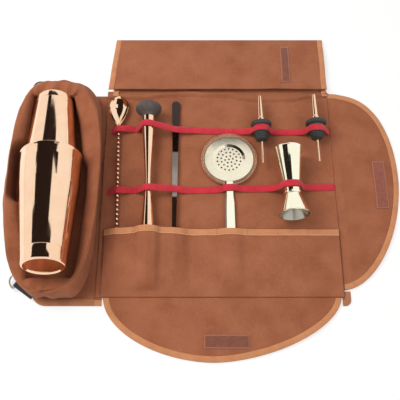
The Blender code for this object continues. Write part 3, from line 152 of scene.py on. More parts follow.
class Nodes:
    """The node tree of a material or world, with short calls to add and join nodes."""

    def __init__(self, owner):
        owner.use_nodes = True
        self.owner = owner
        self.tree = owner.node_tree
        self.places = None

    def add(self, kind, **values):
        node = self.tree.nodes.new("ShaderNode" + kind)
        for key, value in values.items():
            if hasattr(node, key) and key != "inputs":
                setattr(node, key, value)
            else:
                node.inputs[key.replace("_", " ")].default_value = value
        return node

    def join(self, start, end):
        self.tree.links.new(start, end)

    def place(self, kind="Object"):
        if not self.places:
            self.places = self.add("TexCoord")
        return self.places.outputs[kind]

    def split(self, vector):
        node = self.add("SeparateXYZ")
        self.join(vector, node.inputs[0])
        return node.outputs[:2]

    def math(self, operation, a, b=None):
        node = self.add("Math", operation=operation)
        for index, value in enumerate((a, b)):
            if value is None:
                continue
            if isinstance(value, (int, float)):
                node.inputs[index].default_value = value
            else:
                self.join(value, node.inputs[index])
        return node.outputs[0]

    def plus(self, a, b):
        return self.math("ADD", a, b)

    def times(self, a, b):
        return self.math("MULTIPLY", a, b)

    def wave(self, length, pitch):
        return self.math("SINE", self.times(length, 2 * PI / pitch))

    def noise(self, coordinates, scale, detail=4, roughness=0.6):
        node = self.add("TexNoise", Scale=scale, Detail=detail, Roughness=roughness)
        self.join(coordinates, node.inputs["Vector"])
        return node.outputs["Fac"]

    def ramp(self, factor, *stops):
        """Colours by factor. A stop is (place, colour), and a single number for the colour is a grey."""
        node = self.add("ValToRGB")
        elements = node.color_ramp.elements
        while len(elements) < len(stops):
            elements.new(0.5)
        for element, (place, colour) in zip(elements, stops):
            element.position = place
            element.color = (*colour, 1) if isinstance(colour, tuple) else (colour, colour, colour, 1)
        self.join(factor, node.inputs["Fac"])
        return node.outputs["Color"]

    def mix(self, factor, a, b, blend="MIX"):
        node = self.add("Mix", data_type="RGBA", blend_type=blend)
        for socket, value in ((node.inputs[0], factor), (node.inputs[6], a), (node.inputs[7], b)):
            if isinstance(value, (int, float)):
                socket.default_value = value
            elif isinstance(value, tuple):
                socket.default_value = (*value, 1)
            else:
                self.join(value, socket)
        return node.outputs[2]

    def bump(self, height, distance, strength, after=None):
        node = self.add("Bump", Strength=strength, Distance=distance)
        self.join(height, node.inputs["Height"])
        if after:
            self.join(after, node.inputs["Normal"])
        return node.outputs["Normal"]

    def finish(self, **values):
        """Sets the shader's sockets, and gives back the material."""
        for key, value in values.items():
            socket = self.tree.nodes["Principled BSDF"].inputs[key.replace("_", " ")]
            if isinstance(value, (int, float, tuple)):
                socket.default_value = value
            else:
                self.join(value, socket)
        return self.owner


def new_material(name):
    return Nodes(bpy.data.materials.new(name))


def weave(nodes, uv, pitch):
    """Height of a plain weave: warp and weft threads that pass over each other, one each pitch."""
    heights = []
    for direction in ("X", "Y"):
        wave = nodes.add("TexWave", wave_type="BANDS", bands_direction=direction, Scale=PI / 10 / pitch,
                         Distortion=0.6, Detail=1.0)
        wave.inputs["Detail Scale"].default_value = 0.4
        nodes.join(uv, wave.inputs["Vector"])
        heights.append(wave.outputs["Fac"])
    return nodes.times(*heights)


def cloth_material(name, dark, mid, light, crumple):
    """Dyed woven canvas: mottled dye, slubs, a weave with painted shade between its threads, and soft
    creases.
    """
    nodes = new_material(name)
    spot = nodes.place()
    mottle = nodes.noise(spot, 26, 5, 0.55)
    slub = nodes.noise(spot, 420, 3)
    colour = nodes.ramp(mottle, (0.3, dark), (0.52, mid), (0.75, light))
    threads = weave(nodes, nodes.place("UV"), 1.1 * MM)
    # Colour darkened where the weave is low: painted shade between the threads.
    colour = nodes.mix(0.55, colour, nodes.ramp(threads, (0.0, (0.80, 0.78, 0.76)), (0.6, 1.0)), "MULTIPLY")
    flecks = nodes.ramp(slub, (0.35, (0.86, 0.85, 0.84)), (0.65, (1.08, 1.07, 1.05)))
    colour = nodes.mix(0.6, colour, flecks, "MULTIPLY")
    normal = nodes.bump(nodes.noise(spot, 34), crumple, 0.5)
    normal = nodes.bump(threads, 0.25 * MM, 0.55, normal)
    dullness = nodes.ramp(mottle, (0.3, 0.86), (0.7, 0.74))
    return nodes.finish(Base_Color=colour, Roughness=dullness, Normal=normal, Sheen_Weight=0.05,
                        Sheen_Roughness=0.5, Specular_IOR_Level=0.25)


def tape_material(name, dark, light, thread=(0.70, 0.42, 0.22), stitch_at=(1.6 * MM,)):
    """Woven edge tape: fine ribs along its length and rows of lock stitches."""
    nodes = new_material(name)
    along, across = nodes.split(nodes.place("UV"))
    colour = nodes.ramp(nodes.noise(nodes.place(), 60), (0.3, dark), (0.7, light))
    height = nodes.times(nodes.plus(nodes.wave(across, 0.9 * MM), nodes.wave(along, 0.8 * MM)), 0.25)
    dash = nodes.math("LESS_THAN", nodes.math("FRACT", nodes.times(along, 1 / (3.1 * MM))), 0.7)
    stitches = None
    for place in stitch_at:
        off = nodes.math("ABSOLUTE", nodes.math("SUBTRACT", across, place))
        row = nodes.times(nodes.math("LESS_THAN", off, 0.36 * MM), dash)
        stitches = nodes.math("MAXIMUM", stitches, row) if stitches else row
    height = nodes.plus(height, nodes.times(stitches, 1.2))
    return nodes.finish(Base_Color=nodes.mix(stitches, colour, thread), Roughness=0.78, Sheen_Weight=0.1,
                        Normal=nodes.bump(height, 0.22 * MM, 0.7))


def elastic_material():
    """Red elastic: ribs along the band with painted shade in their valleys, and a finer rib across it."""
    nodes = new_material("red_elastic")
    along, across = nodes.split(nodes.place("UV"))
    ribs = nodes.wave(across, 1.1 * MM)
    height = nodes.plus(nodes.times(ribs, 0.35), nodes.times(nodes.wave(along, 0.7 * MM), 0.2))
    dye = nodes.noise(nodes.place(), 90)
    colour = nodes.ramp(dye, (0.3, (0.494, 0.0135, 0.0315)), (0.7, (0.665, 0.0255, 0.0434)))
    # Colour darkened in the rib valleys: painted shade.
    colour = nodes.mix(0.5, colour, nodes.ramp(ribs, (0.0, (0.82, 0.8, 0.8)), (0.7, 1.0)), "MULTIPLY")
    return nodes.finish(Base_Color=colour, Roughness=0.66, Sheen_Weight=0.15,
                        Normal=nodes.bump(height, 0.25 * MM, 0.7))


def pile_material(name, dark, light):
    """Hook or loop pile inside a stitched border."""
    nodes = new_material(name)
    spot = nodes.place()
    cells = nodes.add("TexVoronoi", Scale=720)
    nodes.join(spot, cells.inputs["Vector"])
    fuzz = nodes.noise(spot, 160, 6, 0.75)
    colour = nodes.ramp(fuzz, (0.3, dark), (0.7, light))
    border = nodes.math("LESS_THAN", nodes.math("MINIMUM", *nodes.split(nodes.place("UV"))), 1.7 * MM)
    height = nodes.plus(cells.outputs["Distance"], fuzz)
    colour = nodes.mix(border, colour, (0.36, 0.13, 0.075))
    return nodes.finish(Base_Color=colour, Roughness=0.95, Sheen_Weight=0.3,
                        Normal=nodes.bump(height, 0.6 * MM, 0.8))


def metal_material(name, tint, shade, roughness=(0.05, 0.12), scratch=0.07):
    """Mirror-polished plating with faint polishing lines, smears and a slightly uneven tint."""
    nodes = new_material(name)
    spot = nodes.place()
    colour = nodes.ramp(nodes.noise(spot, 30, 3, 0.5), (0.3, shade), (0.62, tint))
    stretch = nodes.add("Mapping")
    stretch.inputs["Scale"].default_value = (900, 60, 900)
    nodes.join(spot, stretch.inputs["Vector"])
    lines = nodes.noise(stretch.outputs[0], 1.0, 3)
    smear = nodes.noise(spot, 75, 5, 0.65)
    finish = nodes.ramp(smear, (0.35, roughness[0]), (0.75, roughness[1]))
    normal = nodes.bump(lines, 0.01 * MM, scratch)
    return nodes.finish(Base_Color=colour, Metallic=1.0, Roughness=finish, Normal=normal)


def rubber_material(name, dark, light, roughness=0.5):
    """Dull rubber or waxed thread, with dust and a fine grain."""
    nodes = new_material(name)
    spot = nodes.place()
    dust = nodes.noise(spot, 130, 5)
    colour = nodes.ramp(dust, (0.3, dark), (0.75, light))
    dullness = nodes.ramp(dust, (0.3, roughness), (0.8, 0.72))
    normal = nodes.bump(nodes.noise(spot, 1500, 2, 0.5), 0.08 * MM, 0.5)
    return nodes.finish(Base_Color=colour, Roughness=dullness, Normal=normal)


def tweezers_material():
    """A polished bridge, a satin ribbed grip in the middle and plain copper towards the points. The bridge
    and the grip's upper band are tinted dark: painted reflection of the dark surroundings.
    """
    nodes = new_material("tweezers_finish_and_painted_reflection")
    spot = nodes.place()
    along = nodes.split(spot)[1]
    place = nodes.plus(nodes.times(along, 4.0), 0.5)
    copper, bridge = (0.95, 0.70, 0.52), (0.22, 0.15, 0.14)
    # From 0.72 on, the grip's upper band and the bridge are tinted dark: painted reflection of the dark
    # surroundings.
    tint = nodes.ramp(place, (0.0, copper), (0.500, copper), (0.512, (0.90, 0.84, 0.74)),
                      (0.66, (0.92, 0.86, 0.76)), (0.72, (0.62, 0.56, 0.50)), (0.806, (0.56, 0.50, 0.45)),
                      (0.816, bridge), (1.0, (0.17, 0.125, 0.12)))
    shade = nodes.ramp(nodes.noise(spot, 80), (0.3, (0.88, 0.87, 0.86)), (0.7, 1.0))
    finish = nodes.ramp(place, (0.500, 0.07), (0.512, 0.50), (0.806, 0.50), (0.816, 0.16), (0.94, 0.16),
                        (0.96, 0.50))
    grip = nodes.ramp(place, (0.500, 0), (0.512, 1), (0.806, 1), (0.816, 0))
    height = nodes.times(nodes.wave(along, 1.3 * MM), grip)
    return nodes.finish(Base_Color=nodes.mix(1.0, tint, shade, "MULTIPLY"), Metallic=1.0, Roughness=finish,
                        Normal=nodes.bump(height, 0.05 * MM, 0.5))


CANVAS = cloth_material("canvas", (0.300, 0.099, 0.047), (0.354, 0.1216, 0.059), (0.395, 0.142, 0.071),
                        1.6 * MM)
CANVAS_OUTER = cloth_material("canvas_outer", (0.285, 0.092, 0.042), (0.345, 0.1165, 0.055),
                              (0.400, 0.142, 0.069), 3.4 * MM)
TAPE = tape_material("edge_tape", (0.485, 0.1935, 0.0833), (0.582, 0.245, 0.1105))
TAPE_BROWN = tape_material("brown_edge_tape", (0.36, 0.140, 0.062), (0.45, 0.185, 0.085), (0.55, 0.28, 0.14))
WEBBING = tape_material("dark_webbing", (0.030, 0.028, 0.026), (0.055, 0.05, 0.046), (0.09, 0.085, 0.08),
                        (3.5 * MM, 14.5 * MM))
ELASTIC = elastic_material()
PATCH = pile_material("hook_pile", (0.163, 0.0546, 0.0328), (0.24, 0.082, 0.0484))
PATCH_RED = pile_material("loop_pile", (0.2125, 0.065, 0.041), (0.3125, 0.097, 0.061))
COPPER = metal_material("polished_copper", (0.98, 0.69, 0.48), (0.95, 0.63, 0.42))
STEEL = metal_material("polished_steel", (0.72, 0.70, 0.64), (0.60, 0.58, 0.53), (0.12, 0.24))
PALE = metal_material("pale_plating", (0.98, 0.96, 0.77), (0.96, 0.91, 0.70), (0.05, 0.10))
PALE_SATIN = metal_material("pale_satin_plating", (0.93, 0.86, 0.67), (0.90, 0.82, 0.62), (0.10, 0.17), 0.02)
# The cups' steel inside, tinted darker than the other steel: real steel with painted shade in the cup's
# hollow.
CUP_INSIDE_PAINTED_SHADE = metal_material("cup_inside_painted_shade", (0.46, 0.44, 0.37), (0.38, 0.36, 0.30), (0.16, 0.28))
RUBBER = rubber_material("dark_rubber", (0.028, 0.030, 0.029), (0.055, 0.058, 0.056))
HEAD_RUBBER = rubber_material("grey_rubber", (0.066, 0.054, 0.049), (0.118, 0.098, 0.088), 0.62)
THREAD = rubber_material("brown_thread", (0.20, 0.07, 0.035), (0.28, 0.105, 0.055), 0.8)
THREAD_RED = rubber_material("red_thread", (0.60, 0.06, 0.09), (0.78, 0.13, 0.16), 0.7)
# Near-black thread for the lining's seam stitches: a painted shadow line along the tuck.
THREAD_PAINTED_SHADOW = rubber_material("painted_shadow_thread", (0.060, 0.020, 0.011), (0.095, 0.032, 0.018), 0.9)
TWEEZERS = tweezers_material()


# Mesh helpers


def finish_piece(item, body, nodes=()):
    for node in nodes:
        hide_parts(node)
    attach(item, body)


def join_rings(source, rings):
    """Faces between each ring of points and the next one, of the same count."""
    for near, far in zip(rings, rings[1:]):
        for step in range(len(near)):
            after = (step + 1) % len(near)
            source.faces.new((near[step], near[after], far[after], far[step]))


def link_mesh(name, source, materials, smooth_angle=None):
    mesh = bpy.data.meshes.new(name)
    source.to_mesh(mesh)
    source.free()
    mesh.shade_smooth()
    if smooth_angle:
        mesh.set_sharp_from_angle(angle=math.radians(smooth_angle))
    for material in materials:
        mesh.materials.append(material)
    item = bpy.data.objects.new(name, mesh)
    bpy.context.scene.collection.objects.link(item)
    return item


def plan_uv(u, v, point):
    return point.x, point.y


def surface(name, across, along, place, material, thickness, uv=plan_uv, wrap=False):
    """A sheet through place(u, v), with UVs in metres, thickened below its own face."""
    source = bmesh.new()
    layer = source.loops.layers.uv.new("UVMap")
    columns = across if wrap else across + 1
    rows = []
    for j in range(along + 1):
        rows.append([source.verts.new(place(i / across, j / along)) for i in range(columns)])
    for j in range(along):
        for i in range(across):
            k = (i + 1) % columns
            corners = ((i, i, j), (i + 1, k, j), (i + 1, k, j + 1), (i, i, j + 1))
            face = source.faces.new([rows[row][column] for _, column, row in corners])
            for loop, (step, column, row) in zip(face.loops, corners):
                loop[layer].uv = uv(step / across, row / along, rows[row][column].co)
    item = link_mesh(name, source, [material])
    modifier = item.modifiers.new("Thickness", "SOLIDIFY")
    modifier.thickness = thickness
    modifier.offset = -1
    return item


def loft(name, rings, material, smooth_angle=50):
    """A closed skin over rings of equal counts. UVs are lengths along the rings and round them."""
    source = bmesh.new()
    layer = source.loops.layers.uv.new("UVMap")
    rows = [[source.verts.new(point) for point in ring] for ring in rings]
    count = len(rows[0])
    run = running_lengths([ring[0] for ring in rings])
    girth = running_lengths([*rings[0], rings[0][0]])
    for j in range(len(rows) - 1):
        for i in range(count):
            corners = ((j, i), (j, i + 1), (j + 1, i + 1), (j + 1, i))
            face = source.faces.new([rows[row][column % count] for row, column in corners])
            for loop, (row, column) in zip(face.loops, corners):
                loop[layer].uv = (run[row], girth[column])
    source.faces.new(rows[0])
    source.faces.new(rows[-1])
    bmesh.ops.recalc_face_normals(source, faces=source.faces)
    return link_mesh(name, source, [material], smooth_angle)


def placing(tip, run):
    return Matrix.Translation(tip) @ run.to_track_quat("Z", "Y").to_matrix().to_4x4()


def circle(radius, steps, first=0.0):
    """Points evenly round a circle. The first is so many steps on from the x axis."""
    angles = [2 * PI * (step + first) / steps for step in range(steps)]
    return [(radius * math.cos(a), radius * math.sin(a)) for a in angles]


def lathe(name, axis, profile, materials, body, node, steps=96, second_from=None,
          smooth_angle=30):
    """A turned piece. The profile is (station, radius); faces from an index on take the second material."""
    place = placing(*axis)
    source = bmesh.new()
    rings = []
    for station, radius in profile:
        points = circle(radius, steps) if radius else [(0, 0)]
        rings.append([source.verts.new(place @ Vector((*point, station))) for point in points])
    pairs = list(zip(rings, rings[1:]))
    if profile[0][1]:
        pairs.append((rings[-1], rings[0]))
    for index, (near, far) in enumerate(pairs):
        for step in range(steps):
            after = (step + 1) % steps
            if len(near) == 1:
                corners = (near[0], far[after], far[step])
            elif len(far) == 1:
                corners = (near[step], near[after], far[0])
            else:
                corners = (near[step], near[after], far[after], far[step])
            face = source.faces.new(corners)
            face.material_index = int(second_from is not None and index >= second_from)
    bmesh.ops.recalc_face_normals(source, faces=source.faces)
    finish_piece(link_mesh(name, source, materials, smooth_angle), body, (node,))


def rounded(points, radius, steps=4):
    """A profile whose corners are cut by small curves."""
    out = [points[0]]
    for before, here, after in zip(points, points[1:], points[2:]):
        a, b, c = (Vector((*point, 0)) for point in (before, here, after))
        reach = min(radius, (a - b).length * 0.45, (c - b).length * 0.45)
        start = b + (a - b).normalized() * reach
        end = b + (c - b).normalized() * reach
        for step in range(steps + 1):
            t = step / steps
            p = start * (1 - t) ** 2 + b * 2 * t * (1 - t) + end * t ** 2
            out.append((p.x, p.y))
    return [*out, points[-1]]


def curve_between(a, b, c, d, t):
    """The value at the share t from b to c, on a smooth curve that comes from a and goes on to d."""
    bend = (2 * a - 5 * b + 4 * c - d) * t * t
    return 0.5 * (2 * b + (c - a) * t + bend + (3 * b - a - 3 * c + d) * t ** 3)


def spline(points, per=8):
    """A smooth curve through (station, radius) points."""
    out = []
    ends = [points[0], *points, points[-1]]
    for near in zip(ends, ends[1:], ends[2:], ends[3:]):
        for t in (step / per for step in range(per)):
            out.append(tuple(curve_between(*values, t) for values in zip(*near)))
    return [*out, points[-1]]


def chaikin(points, times):
    """An open path with its corners cut again and again."""
    for _ in range(times):
        cut = [points[0]]
        for pair in zip(points, points[1:]):
            cut += [tuple(lerp(p, q, share) for p, q in zip(*pair)) for share in (0.25, 0.75)]
        points = [*cut, points[-1]]
    return points


def flat_normals(path):
    """Leftward unit normals along an open path of (x, y) points."""
    normals = []
    for (ax, ay), (bx, by) in zip([path[0], *path], [*path[1:], path[-1]]):
        length = math.hypot(bx - ax, by - ay) or 1
        normals.append((-(by - ay) / length, (bx - ax) / length))
    return normals


def set_off(point, normal, section):
    """A ring of points across a path, for the (inward, z) pairs of a section."""
    return [(point[0] + normal[0] * inward, point[1] + normal[1] * inward, z) for inward, z in section]


def binding(name, node, body, path, height, width, material=TAPE, ends=None, thickness=0.7 * MM):
    """Tape folded over an edge. The path is the outermost line, the cloth is on its left, and height(x, y)
    is the cloth's top face."""
    normals = flat_normals(path)
    if ends:
        normals[0], normals[-1] = ends
    rings = []
    for point, normal in zip(path, normals):
        edge, inner = (height(*set_off(point, normal, [(inward, 0)])[0][:2]) for inward in (MM, width))
        middle = lerp(edge, inner, 0.5)
        top = edge + thickness
        back = width + 0.25 * MM * rough(*point, 120, 3.1)
        rings.append(set_off(point, normal, [
            (1.2 * MM, 0), (0.25 * MM, 0.1 * MM), (0, 0.6 * MM), (0, 0.6 * top), (0.35 * MM, top - 0.25 * MM),
            (1.3 * MM, top + 0.2 * MM), (width / 2, middle + thickness + 0.25 * MM),
            (back - 0.5 * MM, inner + thickness), (back, inner + 0.55 * thickness),
            (back - 0.2 * MM, inner + 0.1 * MM), (width / 2, middle + 0.1 * MM), (1.3 * MM, edge - 0.3 * MM),
        ]))
    finish_piece(loft(name, rings, material), body, (node,))


def outline_slab(name, outline, low, high, material):
    """A flat slab with the outline given in plan."""
    source = bmesh.new()
    layer = source.loops.layers.uv.new("UVMap")
    bottom, top = ([source.verts.new((*point, z)) for point in outline] for z in (low, high))
    source.faces.new(top)
    source.faces.new(bottom[::-1])
    join_rings(source, [bottom, top])
    bmesh.ops.recalc_face_normals(source, faces=source.faces)
    for face in source.faces:
        for loop in face.loops:
            loop[layer].uv = loop.vert.co.xy
    return link_mesh(name, source, [material], 30)


def arc(centre, radius, start, turn, steps=10):
    angles = [start + turn * step / steps for step in range(steps + 1)]
    return [(centre[0] + radius * math.cos(a), centre[1] + radius * math.sin(a)) for a in angles]


def stitch_row(name, points, material, length, gap, radius=0.32 * MM):
    """A row of thread stitches, small humps that lie on the tool panel along points."""
    sides = 6
    source = bmesh.new()
    marks = [Vector(point) for point in points]
    for a, b in zip(marks, marks[1:]):
        step = (b - a).length
        start = a.copy()
        direction = (b - a).normalized()
        side = direction.cross(Vector((0, 0, 1))).normalized()
        while step > length:
            rings = []
            for share, size in ((0, 0.35), (0.2, 1), (0.8, 1), (1, 0.35)):
                middle = start.lerp(start + direction * length, share)
                rings.append([source.verts.new(middle + side * across + Vector((0, 0, up)))
                              for across, up in circle(radius * size, sides)])
            join_rings(source, rings)
            source.faces.new(rings[0])
            source.faces.new(rings[-1])
            start = start + direction * (length + gap)
            step -= length + gap
    bmesh.ops.recalc_face_normals(source, faces=source.faces)
    finish_piece(link_mesh(name, source, [material], 60), "tool_side")


# Tool panel

# Where the lining is held down: an axis's two ends in plan, and how far out
TOOL_LINES = [
    ((-0.131, 0.177), (-0.1233, -0.10), 0.006), ((-0.0816, 0.1565), (-0.0776, -0.07), 0.016),
    ((TWEEZERS_X, 0.170), (TWEEZERS_X, -0.08), 0.009), ((STRAINER_X, 0.066), (STRAINER_X, 0.030), 0.046),
    ((STRAINER_X, 0.030), (STRAINER_X, -0.08), 0.011), ((0.0958, 0.1716), (0.0971, 0.053), 0.012),
    ((0.1825, 0.1744), (0.1838, 0.056), 0.012), ((0.1358, 0.0745), (0.1390, -0.034), 0.024),
    ((ELASTIC_LEFT_X, UPPER_BAND[0]), (ELASTIC_RIGHT_X, UPPER_BAND[1]), 0.008),
    ((ELASTIC_LEFT_X, LOWER_BAND[0]), (ELASTIC_RIGHT_X, LOWER_BAND[1]), 0.009),
]
# The lining's sewn tuck near its rear edge, left to right
SEAM = [
    (-0.152, 0.176), (-0.128, 0.1775), (-0.094, 0.1750), (-0.054, 0.181), (-0.016, 0.1837), (0.013, 0.181),
    (0.046, 0.1814), (0.069, 0.1745), (0.104, 0.172), (0.150, 0.1736), (0.181, 0.179), (0.208, 0.1807),
]
LINING_LEFT_X = -0.1505
SHELL_THICKNESS = 1.6 * MM


def free_room(x, y):
    """How far the lining may rise here: 0 beneath a tool or band, 1 well clear of them all."""
    room = 1.0
    for start, end, reach in TOOL_LINES:
        room = min(room, smooth(reach, reach + 0.022, nearest_on_line(x, y, start, end)[0]))
    return room


def lining_height(x, y):
    room = free_room(x, y) * smooth(-0.054, -0.040, y)
    swell = 0.5 + 0.5 * rough(x, y * 0.6, 19, 0.4) + 0.35 * rough(x + 0.4 * y, y, 42, 1.7)
    z = LINING_Z - 0.2 * MM + room * 2.6 * MM * max(swell, 0)
    gap = y - along_line(SEAM, x)[0]
    z -= 1.6 * MM * bell(gap, 1.2 * MM)
    z += 2.2 * MM * bell(gap - 5.5 * MM, 4 * MM) * smooth(0, 3 * MM, gap)
    return z - 0.8 * MM * smooth(0.1865, 0.1905, y)


def lining_place(u, v):
    x, y = lerp(LINING_LEFT_X, PANEL_RIGHT_X, u), lerp(PANEL_FRONT_Y, PANEL_TOP_Y, v)
    return Vector((x, y, lining_height(x, y)))


lining = surface("lining_cloth", 240, 220, lining_place, CANVAS, 1.0 * MM)
finish_piece(lining, "tool_side", ("tool_lining",))

SHELL_LEFT_X = -0.15185
LEFT_CORNER_X = -0.141
RIGHT_CORNER_X = 0.2048
RIGHT_CORNER_Y = -0.143
CORNER_CENTRE = (0.208, -0.155)
shell_outline = [
    (SHELL_LEFT_X, SHELL_FRONT_Y), (LEFT_CORNER_X, SHELL_FRONT_Y), (LEFT_CORNER_X, PANEL_FRONT_Y),
    (RIGHT_CORNER_X, PANEL_FRONT_Y), (RIGHT_CORNER_X, SHELL_FRONT_Y),
    *arc(CORNER_CENTRE, 8.1 * MM, -PI / 2, PI / 2), (0.2161, RIGHT_CORNER_Y), (PANEL_RIGHT_X, RIGHT_CORNER_Y),
    (PANEL_RIGHT_X, PANEL_TOP_Y), (SHELL_LEFT_X, PANEL_TOP_Y),
]
shell = outline_slab("panel_outer_cloth", shell_outline, 0, SHELL_THICKNESS, CANVAS_OUTER)
finish_piece(shell, "tool_side", ("tool_side_shell",))


def shell_top(x, y):
    return SHELL_THICKNESS + 0.1 * MM


left_corner = [(x, CORNER_FRONT_Y) for x in (SHELL_LEFT_X, -0.1465, LEFT_CORNER_X)]
right_corner = [(RIGHT_CORNER_X, CORNER_FRONT_Y), *arc(CORNER_CENTRE, 9 * MM, -PI / 2, PI / 2),
                (0.217, RIGHT_CORNER_Y)]
for node, path, material in (
    ("corner_binding_left", left_corner, TAPE), ("corner_binding_right", right_corner, TAPE_BROWN),
):
    binding(node + "_tape", node, "tool_side", path, shell_top, 8.8 * MM, material)

TAB_FRONT_Y, TAB_REAR_Y = 0.1815, 0.1906
for side, left_x in (("left", COVER_LEFT_X), ("right", 0.1995)):
    right_x = left_x + 8.5 * MM
    corners = [(left_x, TAB_FRONT_Y), (right_x, TAB_FRONT_Y), (right_x, TAB_REAR_Y), (left_x, TAB_REAR_Y)]
    finish_piece(outline_slab("cover_hinge_tab_" + side, corners, 3.3 * MM, 5.6 * MM, TAPE), "tool_side")


# Pocket

DIVIDERS = [x * MM for x in (-143, -99, -61, -21, 25, 70.5, 116, 161, 207)]
# The cloth's rise at the mouth in millimetres, taut from one tool's end to the next
POCKET_LINE = [
    (-143, 0.4), (-133, 4.2), (-124, 8.2), (-112, 8.6), (-99, 11), (-89, 19.6), (-78, 22.6), (-67, 19.6),
    (-57, 11.5), (-48, 10.4), (-38.8, 10.4), (-29, 7.6), (-15, 1.6), (5, 0.9), (26, 2.2), (36, 6.4),
    (45, 7.2), (54, 6.4), (66, 2.0), (90, 0.9), (140, 0.7), (207, 0.4),
]
MOUTH_Y = -0.0505
POCKET_END_Y = -0.1515
SEAM_Y = -0.143
POCKET_FACE = 2.0 * MM
CHANNEL_STEPS = 20


def pocket_height(x, y):
    share = clamp((MOUTH_Y - y) / (MOUTH_Y - SEAM_Y))
    base = REST_Z + along_line(POCKET_LINE, x / MM, 0.5)[0] * MM * (1 - share ** 4)
    pucker = 0.45 * MM * rough(x, y, 45, 5.5) + 0.25 * MM * rough(x, y, 110, 2.2)
    return base + POCKET_FACE + max(pucker, -0.2 * MM) * smooth(0, 0.1, share)


POCKET_X = []
for left, right in zip(DIVIDERS, DIVIDERS[1:]):
    for share in (step / CHANNEL_STEPS for step in range(CHANNEL_STEPS)):
        POCKET_X.append(lerp(left, right, share - 0.045 * math.sin(4 * PI * share) / 2))
POCKET_X.append(DIVIDERS[-1])


def pocket_place(u, v):
    x = POCKET_X[round(u * (len(POCKET_X) - 1))]
    y = lerp(POCKET_END_Y, MOUTH_Y, v)
    return Vector((x, y, pocket_height(x, y) - 1.2 * MM * smooth(SEAM_Y, POCKET_END_Y, y)))


pocket = surface("pocket_cloth", len(POCKET_X) - 1, 66, pocket_place, CANVAS, 1.5 * MM)
finish_piece(pocket, "tool_side", ("tool_pocket",))

tape_rings = []
for x in POCKET_X:
    z, z_in = (pocket_height(x, MOUTH_Y - inward) for inward in (0, 9 * MM))
    mouth = MOUTH_Y + 0.35 * MM + 0.3 * MM * rough(x, 0, 60, 8.8)
    back = MOUTH_Y - 9 * MM + 0.35 * MM * rough(x, 1, 70, 4.4)
    under = z - POCKET_FACE + 0.1 * MM
    middle, middle_y = lerp(z, z_in, 0.45), MOUTH_Y - 4.2 * MM
    tape_rings.append([(x, *point) for point in (
        (back, z_in + 0.1 * MM), (back - 0.2 * MM, z_in + 0.6 * MM), (back + 0.5 * MM, z_in + 1.0 * MM),
        (middle_y, middle + 1.25 * MM), (MOUTH_Y - 1 * MM, z + 1.1 * MM), (mouth + 0.4 * MM, z + 0.7 * MM),
        (mouth + 0.6 * MM, z), (mouth + 0.5 * MM, under), (mouth, under), (mouth, z),
        (mouth - 0.5 * MM, z + 0.25 * MM), (middle_y, middle + 0.3 * MM),
    )])
finish_piece(loft("pocket_tape", tape_rings, TAPE), "tool_side", ("pocket_binding",))

for number, x in enumerate(DIVIDERS):
    places = [(x, MOUTH_Y - k * 2.9 * MM) for k in range(4)]
    rows = [(x, y, pocket_height(x, y) + 1.2 * MM) for x, y in places]
    stitch_row("pocket_seam_%d" % (number + 1), rows, THREAD, 2.2 * MM, 0.6 * MM)

# Stitches along the lining's tuck in near-black thread: a painted shadow line along the seam.
seam_x = [lerp(-0.1485, 0.2065, k / 110) for k in range(111)]
seam_places = [(x, along_line(SEAM, x)[0] - 0.4 * MM) for x in seam_x]
seam_rows = [(x, y, lining_height(x, y) + 0.15 * MM) for x, y in seam_places]
stitch_row("lining_seam_painted_shadow_stitches", seam_rows, THREAD_PAINTED_SHADOW, 2.6 * MM, 0.5 * MM, 0.46 * MM)


# Flaps

FLAP_STEPS = 120
FLAP_TAPE_WIDTH = 8.6 * MM
SIDE_LINE = PANEL_RIGHT_X + 0.3 * MM
SIDE_MIDDLE_Y = 0.040
FRONT_LINE = PANEL_FRONT_Y - 0.3 * MM
FRONT_MIDDLE_X = 0.020


def flap_curve(before, after, depth, power_before, power_after, steps=200):
    """A flap's edge as (along, out) points, evenly spaced: half a superellipse with two unlike ends."""
    points = []
    for step in range(2 * steps + 1):
        angle = PI * (1 - step / (2 * steps))
        across = math.cos(angle)
        width, power = (before, power_before) if across < 0 else (after, power_after)
        out = max(abs(math.sin(angle)) ** (2 / power) * depth, 0.25 * MM)
        points.append((signed_power(across, 2 / power) * width, out))
    places = even_places(running_lengths(points), FLAP_STEPS)
    return [tuple(lerp(a, b, share) for a, b in zip(points[k], points[k + 1])) for k, share in places]


def flap_height(out, swell, wave, root_lift, belly, rim, crease, crease_at):
    """Top face of a flap: it lifts at its root, bellies between there and the rim, and has a soft crease."""
    lift = 1.9 * MM + root_lift * math.exp(-max(out, 0) / (6 * MM))
    lift += belly * max(swell, 0) * smooth(4 * MM, 30 * MM, out) * (1 - smooth(*rim, out) * 0.8)
    return lift + crease * bell(out - crease_at, 5 * MM) * (0.6 + 0.5 * wave)


def side_height(x, y):
    swell = 0.5 + 0.6 * rough(x * 1.2, y * 0.8, 13, 6.1) + 0.25 * rough(x, y, 40, 3.3)
    wave = rough(0.0, y, 24, 1.1)
    return flap_height(x - SIDE_LINE, swell, wave, 1.3 * MM, 3.6 * MM, (0.075, 0.098), 1.6 * MM, 11 * MM)


def front_height(x, y):
    swell = 0.5 + 0.6 * rough(x * 0.8, y * 1.2, 12, 9.4) + 0.25 * rough(x, y, 40, 7.3)
    wave = rough(x, 0.0, 24, 1.1)
    return flap_height(FRONT_LINE - y, swell, wave, 1.4 * MM, 3.4 * MM, (0.068, 0.090), 1.2 * MM, 10 * MM)


def side_point(along, out):
    return SIDE_LINE + out, SIDE_MIDDLE_Y + along


def front_point(along, out):
    return FRONT_MIDDLE_X + along, FRONT_LINE - out


def flap_cloth(name, steps, curve, point, height, share_and_edge):
    """A flap's cloth, from its straight root to just inside its curved edge."""
    def place(u, v):
        share, edge = share_and_edge(u, v)
        along, out = curve[round(edge * FLAP_STEPS)]
        x, y = point(along, (out - 0.9 * MM if out > 2 * MM else out * 0.5) * share)
        return Vector((x, y, height(x, y)))

    cloth = surface(name + "_cloth", *steps, place, CANVAS, 1.6 * MM)
    finish_piece(cloth, name, (name,))
    return cloth


